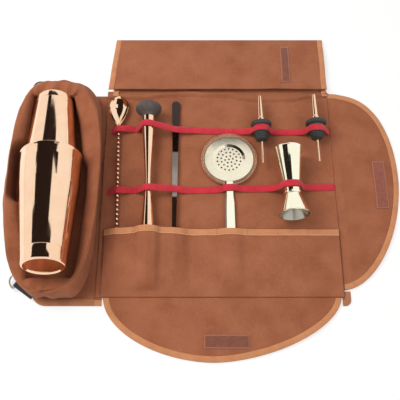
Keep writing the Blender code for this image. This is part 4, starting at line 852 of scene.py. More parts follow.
side_curve = flap_curve(0.181, 0.147, 0.0995, 1.8, 2.3)
side_cloth = flap_cloth("side_flap", (60, FLAP_STEPS), side_curve, side_point, side_height,
                        lambda u, v: (u, v))
front_curve = flap_curve(0.159, 0.183, 0.0905, 1.85, 1.7)
front_cloth = flap_cloth("front_flap", (FLAP_STEPS, 60), front_curve, front_point, front_height,
                         lambda u, v: (1 - v, u))
for name, curve, point, height, ends in (
    ("side_flap", side_curve, side_point, side_height, ((0, 1), (0, -1))),
    ("front_flap", front_curve, front_point, front_height, ((1, 0), (-1, 0))),
):
    path = [point(*edge) for edge in curve]
    binding(name + "_tape", name + "_binding", name, path, height, FLAP_TAPE_WIDTH, ends=ends)


def patch_piece(name, centre, size, height, body, node, material=PATCH):
    """A patch of hook or loop pile on cloth of the given height. Its UVs are the distances to its edges."""
    def place(u, v):
        x, y = centre[0] + (u - 0.5) * size[0], centre[1] + (v - 0.5) * size[1]
        edge = min(u, 1 - u, v * 4, (1 - v) * 4)
        return Vector((x, y, height(x, y) + 1.0 * MM + 0.25 * MM * smooth(0, 0.12, edge)))

    def mark(u, v, _):
        return min(u, 1 - u) * size[0], min(v, 1 - v) * size[1]

    finish_piece(surface(name, 40, 60, place, material, 0.9 * MM, uv=mark), body, (node,))


patch_piece("side_pile_patch", (0.278, 0.024), (0.019, 0.079), side_height, "side_flap", "side_hook_patch",
            PATCH_RED)
patch_piece("front_pile_patch", (0.0375, -0.2145), (0.064, 0.019), front_height, "front_flap",
            "front_hook_patch")


# Cover, folded back on itself

COVER_INSET = 0.9 * MM
COVER_ROOT_Y = PANEL_TOP_Y + 0.3 * MM
COVER_TAPE_WIDTH = 8.8 * MM


def cover_first_place(u, v):
    x = lerp(COVER_LEFT_X + COVER_INSET, COVER_RIGHT_X - COVER_INSET, u)
    y = lerp(COVER_ROOT_Y, COVER_FOLD_Y, v)
    return Vector((x, y, 2.0 * MM + 0.4 * MM * smooth(0.285, 0.293, y)))


def cover_first_height(x, y):
    return 2.05 * MM


cover_first = surface("cover_lower_cloth", 60, 24, cover_first_place, CANVAS_OUTER, 1.8 * MM)
finish_piece(cover_first, "cover_first", ("cover_first_panel",))
for node, x, start, end in (
    ("cover_first_binding_left", COVER_LEFT_X, COVER_FOLD_Y, COVER_ROOT_Y),
    ("cover_first_binding_right", COVER_RIGHT_X, COVER_ROOT_Y, COVER_FOLD_Y),
):
    path = [(x, lerp(start, end, step / 12)) for step in range(13)]
    binding(node + "_tape", node, "cover_first", path, cover_first_height, 8.6 * MM, thickness=0.6 * MM)


def cover_left(y):
    return lerp(COVER_LEFT_X, COVER_FREE_LEFT_X, clamp((COVER_FOLD_Y - y) / (COVER_FOLD_Y - COVER_FREE_Y)))


def cover_height(x, y):
    """Top face of the folded-back layer: it bows up, and its free edge lifts off the panel."""
    share = clamp((y - COVER_FREE_Y) / (COVER_FOLD_Y - COVER_FREE_Y))
    bow = math.sin(PI * min(share + 0.12, 1)) ** 0.8
    swell = 0.6 + 0.5 * rough(x * 0.7, y, 16, 2.9) + 0.2 * rough(x, y, 46, 0.9)
    lift = 5.6 * MM + 5.2 * MM * bow * max(swell, 0.1)
    lift += 4.0 * MM * (1 - smooth(0, 0.16, share)) * (0.55 + 0.45 * rough(x, 0.3, 17, 4.6))
    return lerp(lift, 3.6 * MM, smooth(0.972, 1.0, share))


def cover_second_place(u, v):
    y = lerp(COVER_FREE_Y + 0.2 * MM, COVER_FOLD_Y + 0.5 * MM, v ** 0.9)
    x = lerp(cover_left(y) + COVER_INSET, COVER_RIGHT_X - COVER_INSET, u)
    edge_wave = 0.5 * MM * rough(x, 0.7, 30, 2.0) * (1 - v)
    return Vector((x, y + edge_wave, cover_height(x, y)))


cover_second = surface("cover_upper_cloth", 200, 80, cover_second_place, CANVAS, 1.7 * MM)
finish_piece(cover_second, "cover_second", ("cover_second_panel",))
left_path = [(cover_left(y), y) for y in (lerp(COVER_FOLD_Y, COVER_FREE_Y, step / 40) for step in range(41))]
right_path = [(COVER_RIGHT_X, lerp(COVER_FREE_Y, COVER_FOLD_Y, step / 40)) for step in range(41)]
for node, path in (("cover_second_binding_left", left_path), ("cover_second_binding_right", right_path)):
    rings = []
    for point, normal in zip(path, flat_normals(path)):
        top = cover_height(*point)
        low = 3.7 * MM
        width = COVER_TAPE_WIDTH
        rings.append(set_off(point, normal, [
            (0.9 * MM, max(low, top - 2.4 * MM)), (0, max(low + 0.3 * MM, top - 1.9 * MM)),
            (-0.1 * MM, top - 0.4 * MM), (0.3 * MM, top + 0.45 * MM), (1.4 * MM, top + 0.85 * MM),
            (width - 0.4 * MM, top + 0.75 * MM), (width, top + 0.4 * MM), (width - 0.2 * MM, top + 0.1 * MM),
            (1.6 * MM, top + 0.1 * MM), (0.8 * MM, top - 0.6 * MM),
        ]))
    finish_piece(loft(node + "_tape", rings, TAPE), "cover_second", (node,))
patch_piece("cover_pile_patch", (0.142, 0.2415), (0.0145, 0.071), cover_height, "cover_second",
            "cover_loop_patch")


# Elastic bands

ELASTIC_WIDTH = 11 * MM
ELASTIC_LEAD = 2.5 * MM
ARC_STEPS = 16

# Radii of the tools under the bands, as (station, radius)
MUDDLER_HANDLE = mm([(33.3, 9.6), (52.3, 9.6), (90, 7.0), (134, 5.0), (172, 7.4), (210, 10.5), (222, 9)])
SPOON_SHAFT = mm([(58.8, 2.8), (287, 2.8)])
CORK = mm([(46.3, 7.2), (49.3, 15.9), (50.8, 16.5), (55.3, 15.3), (55.3, 11.5), (67, 11.5), (78.8, 9)])
LONG_CUP = mm([(74.35, 11.5), (1.6, 21.2), (0.8, 22), (0, 22)])


def radius_at(profile, station):
    """The largest radius that a profile has at a station."""
    found = 0.0
    for (s0, r0), (s1, r1) in zip(profile, profile[1:]):
        if min(s0, s1) <= station <= max(s0, s1) and s0 != s1:
            found = max(found, r0 + (r1 - r0) * (station - s0) / (s1 - s0))
    return found


def round_crossing(axis, profile, y):
    """The band's way over a turned tool at y, as (x, z) points."""
    tip, run = axis

    def station(at_y):
        return (at_y - tip.y) / run.y

    radius = radius_at(profile, station(y))
    half = ELASTIC_WIDTH / 2 + 2 * abs(run.x) * radius
    top = 0.0
    for edge in (y - half, y, y + half):
        radius = max(radius, radius_at(profile, station(edge)))
        top = max(top, (tip + run * station(edge)).z)
    centre = (tip + run * station(y)).x
    reach = (radius + 0.7 * MM) / math.cos(PI / 2 / ARC_STEPS)
    angles = [PI * (k + 0.5) / ARC_STEPS for k in range(ARC_STEPS)]
    return [(centre - reach * math.cos(a), top + reach * math.sin(a)) for a in angles]


def flat_crossing(x, half, top):
    return [(x - half - 0.4 * MM, top + 0.45 * MM), (x + half + 0.4 * MM, top + 0.45 * MM)]


def tweezers_crossing(y):
    station = 0.1705 - y + ELASTIC_WIDTH / 2
    half = lerp(5.1, 2.5, (station - 0.046) / 0.204) * MM if station > 0.046 else 6.8 * MM
    return flat_crossing(TWEEZERS_X, half, REST_Z + 3.3 * MM + station * math.tan(math.radians(1.3)))


def strainer_crossing(y):
    return flat_crossing(STRAINER_X, 8 * MM, STRAINER_CENTRE.z + 1.2 * MM)


def taut(points):
    """The upper hull of points: a band pulled tight over them."""
    hull = []
    for point in sorted(points):
        while len(hull) > 1:
            (ax, az), (bx, bz) = hull[-2], hull[-1]
            if (bx - ax) * (point[1] - az) - (bz - az) * (point[0] - ax) < 0:
                break
            hull.pop()
        hull.append(point)
    return hull


def elastic(name, left_y, right_y, crossings, tacks, sway):
    """A band over its tools, held flat at the tacks. A crossing is (x, dip towards -y, clear points at y)."""
    flat = LINING_Z + 0.3 * MM
    slope = (right_y - left_y) / (ELASTIC_RIGHT_X - ELASTIC_LEFT_X)

    def line_y(x):
        return left_y + slope * (x - ELASTIC_LEFT_X)

    def drift(x):
        return along_line(sway, x / MM)[0] * MM

    path = [(ELASTIC_LEFT_X, flat, 0.0)]
    edges = [ELASTIC_LEFT_X, *tacks, ELASTIC_RIGHT_X]
    for start, end in zip(edges, edges[1:]):
        dips = {}
        for x, dip, clear in crossings:
            if start < x < end:
                points = clear(line_y(x) - dip)
                top = max(z for _, z in points)
                dips.update({(px, pz): dip * (pz - flat) / (top - flat) for px, pz in points})
        if dips:
            low = min(start + ELASTIC_LEAD, min(px for px, _ in dips) - ELASTIC_LEAD)
            high = max(end - ELASTIC_LEAD, max(px for px, _ in dips) + ELASTIC_LEAD)
            path += [(*point, dips.get(point, 0.0)) for point in taut([(low, flat), *dips, (high, flat)])]
    path = chaikin([*path, (ELASTIC_RIGHT_X, flat, 0.0)], 2)
    rings = []
    for (x, z, dip), (nx, nz) in zip(path, flat_normals([point[:2] for point in path])):
        y = line_y(x) - dip + drift(x) + 0.35 * MM * rough(x, 0.2, 55, left_y * 10)
        half = ELASTIC_WIDTH / 2 * (1 - 0.05 * smooth(0.008, 0.02, z))
        flank = half - 0.3 * MM
        section = ((-flank, 0), (flank, 0), (half, 0.45 * MM), (flank, 0.9 * MM), (0, 0.98 * MM),
                   (-flank, 0.9 * MM), (-half, 0.45 * MM))
        rings.append([(x + nx * up, y + across, z + nz * up) for across, up in section])
    parts = [name + part for part in ("_left", "_middle", "_right")]
    finish_piece(loft(name + "_band", rings, ELASTIC, 60), "tool_side", parts)
    for number, x in enumerate(tacks):
        y = line_y(x) + drift(x)
        rows = [(x + 0.2 * MM * (k % 2), y - 4.6 * MM + k * 1.15 * MM, flat + 1.0 * MM) for k in range(9)]
        stitch_row("%s_tack_%d" % (name, number + 1), rows, THREAD_RED, 1.0 * MM, 0.1 * MM, 0.3 * MM)


def over(axis, profile, dip):
    """A turned tool's crossing: x, the dip and what gives the points at y."""
    tip, run = axis
    return (tip + run * (-tip.y / run.y)).x, dip, lambda y: round_crossing(axis, profile, y)


under_both = [
    over(SPOON, SPOON_SHAFT, 0.0), over(MUDDLER, MUDDLER_HANDLE, 0.0), (TWEEZERS_X, 0.0, tweezers_crossing),
]
elastic("upper_elastic", *UPPER_BAND,
        [*under_both, *(over(axis, CORK, 5.2 * MM) for axis in POURERS.values())],
        (-0.1017, -0.0159, 0.0747, 0.1160, 0.1637),
        [(-142, 0), (-101, 4.5), (-80, 1.0), (-39, -0.5), (-5, 2.0), (45, 1.0), (80, 0), (208, 0)])
elastic("lower_elastic", *LOWER_BAND,
        [*under_both, (STRAINER_X, -1.5 * MM, strainer_crossing), over(JIGGER, LONG_CUP, 7 * MM)],
        (-0.1000, -0.0185, 0.0308, 0.0677, 0.1120, 0.1620),
        [(-142, 0), (-101, 2.5), (-80, -0.5), (-39, 0.5), (-10, 0), (208, 0)])


# Shaker

SHAKER_LENGTH = 283
SMALL_TIN = [
    (2.5, 0), (2.5, 23.5), (0.2, 25.4), (0, 26.4), (0.8, 28.0), (3.0, 29.0), (12, 29.8), (12.4, 29.6),
    (12.8, 29.9), (133.5, 40.2), (135.2, 41), (137, 41), (137, 39.4), (133, 39.0), (4, 28), (3.5, 23.5),
    (3.5, 0),
]
LARGE_TIN = [
    (280.5, 0), (280.5, 25.5), (282.8, 27.2), (SHAKER_LENGTH, 28.4), (282.2, 30.0), (280, 31.0), (262, 32.5),
    (261.6, 32.25), (261.2, 32.6), (160, 43.2), (125, 45.2), (110.5, 45.2), (108.8, 46), (107, 46),
    (107, 44.4), (112, 44.1), (160, 42.0), (279, 30), (279.4, 25.5), (279.5, 0),
]
for size, profile in (("small", SMALL_TIN), ("large", LARGE_TIN)):
    lathe(size + "_tin", SHAKER, rounded(mm(profile), 0.8 * MM), [COPPER], "shaker_" + size,
          "shaker_%s_tin" % size, steps=128, smooth_angle=24)


# Bar spoon

BOWL_LENGTH = 0.056
BOWL_HALF_WIDTH = 0.01525
BOWL_WIDEST = 0.36
BOWL_STEPS = 64
SPOON_LEAN = math.radians(1.6)
TWIST_PITCH = 0.030


def bowl_outline(angle):
    """The bowl's rim, egg-shaped in plan, as (along, across)."""
    along = (1 - math.cos(angle)) / 2
    swell = math.sin(PI * along ** (math.log(0.5) / math.log(BOWL_WIDEST))) ** 0.85
    return along * BOWL_LENGTH, math.copysign(swell, math.sin(angle)) * BOWL_HALF_WIDTH


def build_bowl():
    """The bowl: a dished shell with its rim up."""
    rim = REST_Z + 8.6 * MM
    centre = BOWL_LENGTH * BOWL_WIDEST
    tip = SPOON[0]
    source = bmesh.new()
    shells = []
    for thickness in (1.0 * MM, 0.0):
        rows = []
        for k in range(13):
            share = math.sin(PI / 2 * (k + 0.6) / 12.6)
            z = rim - 7.5 * MM * (1 - share ** 2.2) - thickness + 0.25 * MM * smooth(0.9, 1, share)
            row = []
            for step in range(BOWL_STEPS):
                along, across = bowl_outline(2 * PI * (step + 0.5) / BOWL_STEPS)
                side, back = across * share, centre + (along - centre) * share
                row.append(source.verts.new((
                    tip.x + side * math.cos(SPOON_LEAN) + back * math.sin(SPOON_LEAN),
                    tip.y + side * math.sin(SPOON_LEAN) - back * math.cos(SPOON_LEAN), z,
                )))
            rows.append(row)
        shells.append(rows)
    for rows in shells:
        source.faces.new(rows[0])
        join_rings(source, rows)
    join_rings(source, [rows[-1] for rows in shells])
    bmesh.ops.recalc_face_normals(source, faces=source.faces)
    finish_piece(link_mesh("spoon_bowl", source, [COPPER], 40), "bar_spoon", ("bar_spoon",))


def build_shaft():
    """The square shaft, twisted from just behind the bowl."""
    place = placing(*SPOON)
    rings = []
    for k in range(421):
        station = lerp(0.050, 0.290, k / 420)
        turn = 2 * PI * station / TWIST_PITCH
        thick = lerp(0.5, 1.0, smooth(0.050, 0.060, station)) * (1 - 0.4 * smooth(0.286, 0.290, station))
        twist = smooth(0.060, 0.068, station)
        ring = []
        for a in (2 * PI * step / 16 for step in range(16)):
            radius = 2.3 * MM * thick * (1 - 0.30 * twist * (0.5 - 0.5 * math.cos(4 * a)))
            ring.append(place @ Vector((radius * math.cos(a + turn), radius * math.sin(a + turn), station)))
        rings.append(ring)
    finish_piece(loft("spoon_twisted_shaft", rings, COPPER), "bar_spoon", ("bar_spoon",))


build_bowl()
build_shaft()


# Muddler

head = spline(mm([
    (0.3, 8), (2.0, 14), (5, 18.6), (9, 20.5), (12.5, 20.2), (16.5, 17.4), (20, 13.4), (23, 11), (24.5, 10.3),
]), 4)
lathe("muddler_rubber_head", MUDDLER, [(0, 0), (0, 5 * MM), *head, (24.6 * MM, 0)], [HEAD_RUBBER], "muddler",
      "muddler_head", smooth_angle=45)
grip = spline(mm([
    (24.8, 9.9), (36, 9.5), (52, 9.4), (90, 7.0), (134, 5.0), (172, 7.4), (210, 10.5), (220, 9.7), (225, 6.5),
]))
grip = [(24.7 * MM, 0), *grip, (226 * MM, 3 * MM), (226 * MM, 0)]
lathe("muddler_polished_handle", MUDDLER, grip, [COPPER], "muddler", "muddler_handle", smooth_angle=45)


# Jigger

JIGGER_CUPS = {
    "long": [(74.35, 0), (74.35, 11.5), (1.6, 21.2), (0.8, 22), (0, 22), (0, 20.3), (72.7, 10.6), (72.7, 0)],
    "short": [(74.65, 0), (74.65, 11.5), (107.4, 23.2), (108.2, 24), (109, 24), (109, 22.3), (76.3, 10.6),
              (76.3, 0)],
}
# Each cup's inside takes the darker steel that carries painted shade.
for size, cup in JIGGER_CUPS.items():
    profile = rounded(mm(cup), 0.5 * MM)
    rim = max(range(len(profile)), key=lambda k: profile[k][1])
    lathe("jigger_" + size, JIGGER, profile, [PALE, CUP_INSIDE_PAINTED_SHADE], "tool_side", "jigger_%s_cup" % size,
          steps=112, second_from=rim + 7)
waist = mm([(72.7, 12.8), (73.1, 13.4), (75.9, 13.4), (76.3, 12.8), (76.3, 12.4), (72.7, 12.4)])
waist = rounded(waist, 0.3 * MM)
lathe("jigger_waist_ring", JIGGER, waist, [PALE], "tool_side", "jigger_waist_band")


# Pourers

SPOUT = [(0, 2.9), (38.5, 4.5), (40.5, 5.6), (43, 6.0), (46, 5.8), (46, 4.0), (43, 4.0), (0, 2.1)]
TUBE = [(79.1, 1.75), (118.6, 1.75), (118.6, 0.9), (79.1, 0.9)]
STOPPER = [(46.3, 0), (46.3, 7.0), (47.2, 11.0), (49.2, 15.6), (50.8, 16.5), (53.0, 16.2), (55.3, 15.0),
           (55.6, 11.8), (61, 11.6), (66.5, 11.5)]
for rib in range(4):
    base = 66.5 + rib * 2.95
    radius = 11.5 - 0.62 * rib
    STOPPER += [(base + 0.6, radius - 1.2), (base + 1.0, radius - 1.2), (base + 1.6, radius),
                (base + 2.5, radius - 0.1)]
STOPPER += [(78.8, 7.8), (78.8, 0)]
for side, axis in POURERS.items():
    body = "pourer_" + side
    for part, profile, corner, material, slot, steps, angle in (
        ("spout", SPOUT, 0.4, COPPER, "copper", 48, 30), ("stopper", STOPPER, 0.7, RUBBER, "rubber", 64, 45),
        ("breather", TUBE, 0.2, COPPER, "copper", 32, 30),
    ):
        lathe(part + "_" + side, axis, rounded(mm(profile), corner * MM), [material], body,
              "pourer_%s_%s" % (part, side), steps, smooth_angle=angle)


# Strainer

CURLS = 100
CURL_STEPS = 14
SPRING_GAP = math.radians(17)


def build_spring():
    curve = bpy.data.curves.new("strainer_coil", "CURVE")
    curve.dimensions = "3D"
    curve.bevel_depth = 0.52 * MM
    curve.bevel_resolution = 2
    curve.use_fill_caps = True
    line = curve.splines.new("POLY")
    steps = CURLS * CURL_STEPS
    line.points.add(steps)
    for step, point in enumerate(line.points):
        share = step / steps
        along = -PI / 2 + SPRING_GAP / 2 + (2 * PI - SPRING_GAP) * share
        turn = 2 * PI * CURLS * share
        reach = 41.7 * MM + 3.0 * MM * math.cos(turn)
        point.co = (STRAINER_CENTRE.x + reach * math.cos(along), STRAINER_CENTRE.y + reach * math.sin(along),
                    STRAINER_CENTRE.z + 2.4 * MM * math.sin(turn), 1)
    curve.materials.append(COPPER)
    item = bpy.data.objects.new("strainer_coil", curve)
    bpy.context.scene.collection.objects.link(item)
    finish_piece(item, "strainer", ("strainer_spring",))


def build_handle():
    """The strainer's handle: a thin neck, a sloping shoulder and a paddle with a round end."""
    end_y, end_half, thick = -79.3, 8, 1.2
    stations = [(27.7, 5.75, 0.7), (14, 5.5, 0.7), (2.5, 5.75, 0.7), (0.7, 6.0, 0.8), (-3.5, 6.6, 1.1),
                (-7.3, 7.0, thick), (-40, 7.5, thick), (end_y, end_half, thick)]
    for share in (step / 12 for step in range(1, 12)):
        angle = PI / 2 * share
        half = max(end_half * math.cos(angle), 0.4)
        stations.append((end_y - end_half * math.sin(angle), half, thick - 0.5 * share ** 3))
    rings = []
    for y, half, thick in stations:
        rings.append([
            (STRAINER_CENTRE.x + signed_power(c, 0.28) * half * MM, y * MM,
             STRAINER_CENTRE.z + signed_power(s, 0.55) * thick * MM)
            for c, s in circle(1, 24, 0.5)
        ])
    finish_piece(loft("strainer_paddle", rings, PALE, 35), "strainer", ("strainer_handle",))


build_spring()


def keep_node(name, material):
    """A solid whose own shape is right: it keeps its mesh and takes a finer finish."""
    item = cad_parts[name]
    if not item.material_slots:
        item.data.materials.append(material)
    for slot in item.material_slots:
        slot.material = material


keep_node("strainer_plate", PALE_SATIN)
for name in ("tweezers_lower_arm", "tweezers_upper_arm"):
    keep_node(name, TWEEZERS)
for name in ("d_ring_front", "d_ring_rear"):
    keep_node(name, STEEL)
build_handle()


# Shaker side: base cloth, pouch, its turned-in top and strap tabs

POUCH_LEFT_X, POUCH_RIGHT_X = -0.2885, -0.154
POUCH_FRONT_Y, POUCH_REAR_Y = -0.157, 0.189
POUCH_MIDDLE_X = -0.2212
CREST_MIDDLE = (-0.219, 0.016)
CREST_LEFT, CREST_RIGHT = 0.0622, 0.073
CREST_ALONG = 0.1665
POUCH_STEPS = 300
FINE_STEPS = 2000
# The outer face from its foot to its crest: share of the way, inset at the right and left, and height, in mm
PROFILE = [(0.0, 8, 46, 1.9), (0.16, 2.0, 22, 7), (0.34, -1.0, 4, 17), (0.5, 0.5, 0, 30), (1.0, 2.0, 1.5, 48)]
SHAKER_RADII = [(0, 29), (107, 38.8), (107.1, 46), (125, 45.4), (160, 43.4), (SHAKER_LENGTH, 30.5)]


def pouch_point(angle, inset, left_inset):
    """The pouch's plan outline: a rounded box, moved in by inset, and by left_inset at its left."""
    across, along = math.cos(angle), math.sin(angle)
    power = 4.5 if across >= 0 else 3.4 if along >= 0 else 2.4
    left, right = POUCH_LEFT_X + left_inset, POUCH_RIGHT_X - inset
    front, rear = POUCH_FRONT_Y + inset, POUCH_REAR_Y - inset
    x = signed_power(across, 2 / power) * (right - left) / 2
    y = signed_power(along, 2 / power) * (rear - front) / 2
    return (left + right) / 2 + x, (front + rear) / 2 + y


fine_outline = [pouch_point(2 * PI * k / FINE_STEPS, 0, 0) for k in range(FINE_STEPS + 1)]
fine_lengths = running_lengths(fine_outline)
POUCH_LENGTH = fine_lengths[-1]
even_steps = even_places(fine_lengths, POUCH_STEPS)
POUCH_ANGLES = [2 * PI * (index + share) / FINE_STEPS for index, share in even_steps]


def right_of(angle):
    """0 on the pouch's left side and 1 on its right, with a soft change between."""
    return smooth(-0.25, 0.55, math.cos(angle))


def crest_height(angle, y):
    """How high the pouch's crest stands: higher at the rear and in the middle, with soft waves."""
    share = clamp((y - POUCH_FRONT_Y) / (POUCH_REAR_Y - POUCH_FRONT_Y))
    rim = lerp(0.032, 0.044, share) + 0.016 * math.sin(PI * share)
    return rim + lerp(4.0, 2.5, right_of(angle)) * MM + 1.2 * MM * rough(math.cos(angle), y, 21, 4.0)


def crest_point(angle):
    """The fold at the top of the pouch. It leans out over the crease beside the panel."""
    across, along = math.cos(angle), math.sin(angle)
    power = 3.3 if across < 0 <= along else 2.4
    half = CREST_RIGHT if across >= 0 else CREST_LEFT
    x, y = signed_power(across, 2 / power) * half, signed_power(along, 2 / power) * CREST_ALONG
    return CREST_MIDDLE[0] + x, CREST_MIDDLE[1] + y


def shaker_outline():
    """The shaker's outline in plan, with room for the cloth."""
    left, right = [], []
    tip, run = SHAKER
    for k in range(33):
        station = SHAKER_LENGTH * k / 32
        radius = (along_line(SHAKER_RADII, station, 0)[0] + 2.2) * MM
        middle = tip + run * (station * MM)
        middle.y += {0: 2.2 * MM, 32: -5.0 * MM}.get(k, 0)
        left.append((middle.x - radius, middle.y))
        right.append((middle.x + radius, middle.y))
    return left + right[::-1]


OUTLINE = shaker_outline()


def fold_depth(angle, x, y, share):
    """Inward depth of the wall's folds, strongest on the panel's side and near the ends."""
    right = smooth(0.1, 0.75, math.cos(angle))
    run = smooth(-0.15, -0.05, y) * (1 - smooth(0.165, 0.187, y))
    depth = right * run * 5.5 * MM * bell(share - 0.62 - 0.05 * rough(0.0, y, 9, 2.0), 0.12)
    ends = 1 - smooth(0.0, 0.55, abs(math.cos(angle)))
    pleats = 0.5 + 0.5 * math.sin(x * 190 + 3.5 * rough(x, y, 20, 1.0))
    depth += ends * 4 * MM * pleats * math.sin(PI * share)
    left = smooth(0.1, 0.7, -math.cos(angle))
    depth += left * 4 * MM * max(0, 0.3 + rough(x * 0.3, y, 17, 7.0)) * math.sin(PI * min(share * 1.1, 1))
    return depth + 1.2 * MM * (0.5 + rough(x, y + share * 0.05, 38, 3.0))


def pouch_outer(u, v):
    angle = POUCH_ANGLES[round(u * POUCH_STEPS) % POUCH_STEPS]
    top_x, top_y = crest_point(angle)
    inset, left, z = along_line(PROFILE, v, 0.35)
    x, y = pouch_point(angle, inset * MM, left * MM)
    lean = smooth(0.40, 0.98, v)
    x, y = lerp(x, top_x, lean), lerp(y, top_y, lean)
    z = lerp(z * MM, crest_height(angle, top_y), smooth(0.35, 1.0, v) ** 0.9)
    over_edge = math.sin(PI * smooth(0.55, 1.0, v)) * 2.2 * MM
    depth = fold_depth(angle, x, y, v) * smooth(1.0, 0.84, v) - over_edge
    out_x, out_y = x - POUCH_MIDDLE_X, y - min(max(y, -0.10), 0.13)
    length = math.hypot(out_x, out_y) or 1
    return Vector((x - out_x / length * depth, y - out_y / length * depth, z))


def facing_column(angle):
    """One line of the turned-in top: over the crest, in to the shaker's side and down to the base."""
    x0, y0 = crest_point(angle)
    crest = crest_height(angle, y0)
    width, tx, ty = min(nearest_on_line(x0, y0, a, b) for a, b in zip(OUTLINE, OUTLINE[1:] + OUTLINE[:1]))
    foot = pouch_point(angle, 14.5 * MM, 51 * MM)
    right = right_of(angle)
    left = smooth(0.5, 0.85, -math.cos(angle))
    slit = left * smooth(-0.030, -0.004, y0) * (1 - smooth(0.052, 0.082, y0))
    rear = smooth(0.55, 0.95, math.sin(angle))
    front = smooth(0.55, 0.95, -math.sin(angle))
    low = lerp(lerp(lerp(lerp(42, 15, right), 46, rear), 30, front), 8, slit) * MM
    hold = lerp(0.60, 0.06, slit)
    marks = [
        (0.0, crest), (0.10, crest + 0.6 * MM),
        (lerp(0.48, 0.14, slit), lerp(crest, low, 0.06 + 0.2 * slit)),
        (lerp(0.78, 0.20, slit), lerp(crest, low, 1 - hold)),
        (lerp(0.93, 0.26, slit), lerp(crest, low, 0.86)),
        (lerp(1.0, 0.40, slit), low), (lerp(1.0, 0.50, slit), max(low - 7 * MM, 5 * MM)),
    ]
    points = [(lerp(x0, tx, t), lerp(y0, ty, t), z) for t, z in marks]
    points = chaikin([*points, (*foot, REST_Z)], 3)
    room = min(width / 0.026, 1.2)
    column = []
    for index, (x, y, z) in enumerate(points):
        share = index / (len(points) - 1)
        window = math.sin(PI * min(share / 0.82, 1)) ** 1.2 if share < 0.82 else 0.0
        folds = right * 4.2 * MM * math.sin(2 * PI * (1.9 * share + 0.15 + 0.55 * rough(0.2, y0, 8, 3.0)))
        folds += (1 - right) * (1 - slit) * 2.6 * MM * rough(x * 1.5, y * 0.5, 30, 6.0)
        folds += max(rear, front) * 2.6 * MM * math.sin(x0 * 260 + 4.0 * rough(x, y, 22, 1.5))
        folds += 2.0 * MM * rough(x, y, 52, 8.0)
        column.append(Vector((x, y, z + folds * window * room)))
    return column


COLUMNS = [facing_column(angle) for angle in POUCH_ANGLES[:POUCH_STEPS]]


def facing_place(u, v):
    column = COLUMNS[round(u * POUCH_STEPS) % POUCH_STEPS]
    return column[round(v * (len(column) - 1))]


def ring_uv(start, width):
    return lambda u, v, _: (u * POUCH_LENGTH, start + v * width)


pouch = surface("pouch_outer_cloth", POUCH_STEPS, 56, pouch_outer, CANVAS_OUTER, 1.4 * MM,
                ring_uv(0, 0.062), True)
finish_piece(pouch, "shaker_side", ("pouch_wall",))
facing = surface("pouch_turned_in_top", POUCH_STEPS, len(COLUMNS[0]) - 1, facing_place, CANVAS_OUTER,
                 1.2 * MM, ring_uv(0.07, 0.075), True)
finish_piece(facing, "shaker_side", ("pouch_hem",))

BASE_RIGHT_X = -0.15215
BASE_CORNER = (-0.221, -0.142)
base_outline = [
    (BASE_RIGHT_X, SHELL_FRONT_Y), (BASE_RIGHT_X, 0.1831), *arc((-0.235, 0.176), 7.1 * MM, PI / 2, PI / 2),
    *arc(BASE_CORNER, 21.1 * MM, PI, PI / 2),
]
base = outline_slab("base_outer_cloth", base_outline, 0, SHELL_THICKNESS, CANVAS_OUTER)
finish_piece(base, "shaker_side", ("shaker_side_shell",))
base_path = [(-0.243, -0.131), (-0.243, -0.137), *arc(BASE_CORNER, 22 * MM, PI, PI / 2, 14),
             *((lerp(-0.215, BASE_RIGHT_X, k / 12), CORNER_FRONT_Y) for k in range(13))]
binding("base_tape", "shaker_side_binding", "shaker_side", base_path, shell_top, 10.4 * MM, TAPE_BROWN)

TAB_TURN = math.radians(145)
TAB_HALF = 0.8 * MM
TAB_LENGTH = 0.030
TAB_BEND = 2.8 * MM
for side, root, rest in (("front", (-0.237, -0.1475), 2.8 * MM), ("rear", (-0.236, 0.1785), 1.9 * MM)):
    turn_plan = Matrix.Translation((*root, 0)) @ Matrix.Rotation(TAB_TURN, 4, "Z")
    bar_z = rest + 3.6 * MM
    upper = rest + 1.9 * MM + TAB_HALF
    bend = [PI * k / 10 for k in range(1, 11)]
    middle = [
        *((out, rest + TAB_HALF) for out in (0, 0.010, 0.020, TAB_LENGTH)),
        *((TAB_LENGTH + TAB_BEND * math.sin(a), bar_z - TAB_BEND * math.cos(a)) for a in bend),
        (0.026, lerp(bar_z + TAB_BEND, upper, 0.45)), (0.022, upper), (0.011, upper), (0, upper),
    ]
    faces = [[(u + nx * half, z + nz * half) for (u, z), (nx, nz) in zip(middle, flat_normals(middle))]
             for half in (TAB_HALF, -TAB_HALF)]
    outline = faces[0] + faces[1][::-1]
    rings = [[turn_plan @ Vector((u, v * MM, z)) for u, z in outline] for v in (-9, -8.7, -4, 0, 4, 8.7, 9)]
    tab = loft("strap_tab_%s_webbing" % side, rings, WEBBING)
    finish_piece(tab, "shaker_side", ("strap_tab_" + side,))


# Stage, light and camera

CARD_Z = 0.6
CARD_COLOUR = (0.022, 0.016, 0.014, 1)
FLOOR_HALF = 4.0
FLOOR_Z = -0.2 * MM


def stage_piece(name, corners, material):
    """A flat card or floor that belongs to the picture and not to the bag."""
    source = bmesh.new()
    source.faces.new([source.verts.new(corner) for corner in corners])
    item = link_mesh(name, source, [material])
    return item


def seen_directly(nodes, *rays):
    """1 on the kinds of ray that show the pale background, and 0 on the rest."""
    outputs = nodes.add("LightPath").outputs
    seen = outputs[rays[0]]
    for ray in rays[1:]:
        seen = nodes.math("MAXIMUM", seen, outputs[ray])
    return seen


def join_mix(nodes, factor, first, second, out):
    mixer = nodes.add("MixShader")
    for socket, value in zip(mixer.inputs, (factor, first.outputs[0], second.outputs[0])):
        nodes.join(value, socket)
    nodes.join(mixer.outputs[0], out.inputs[0])


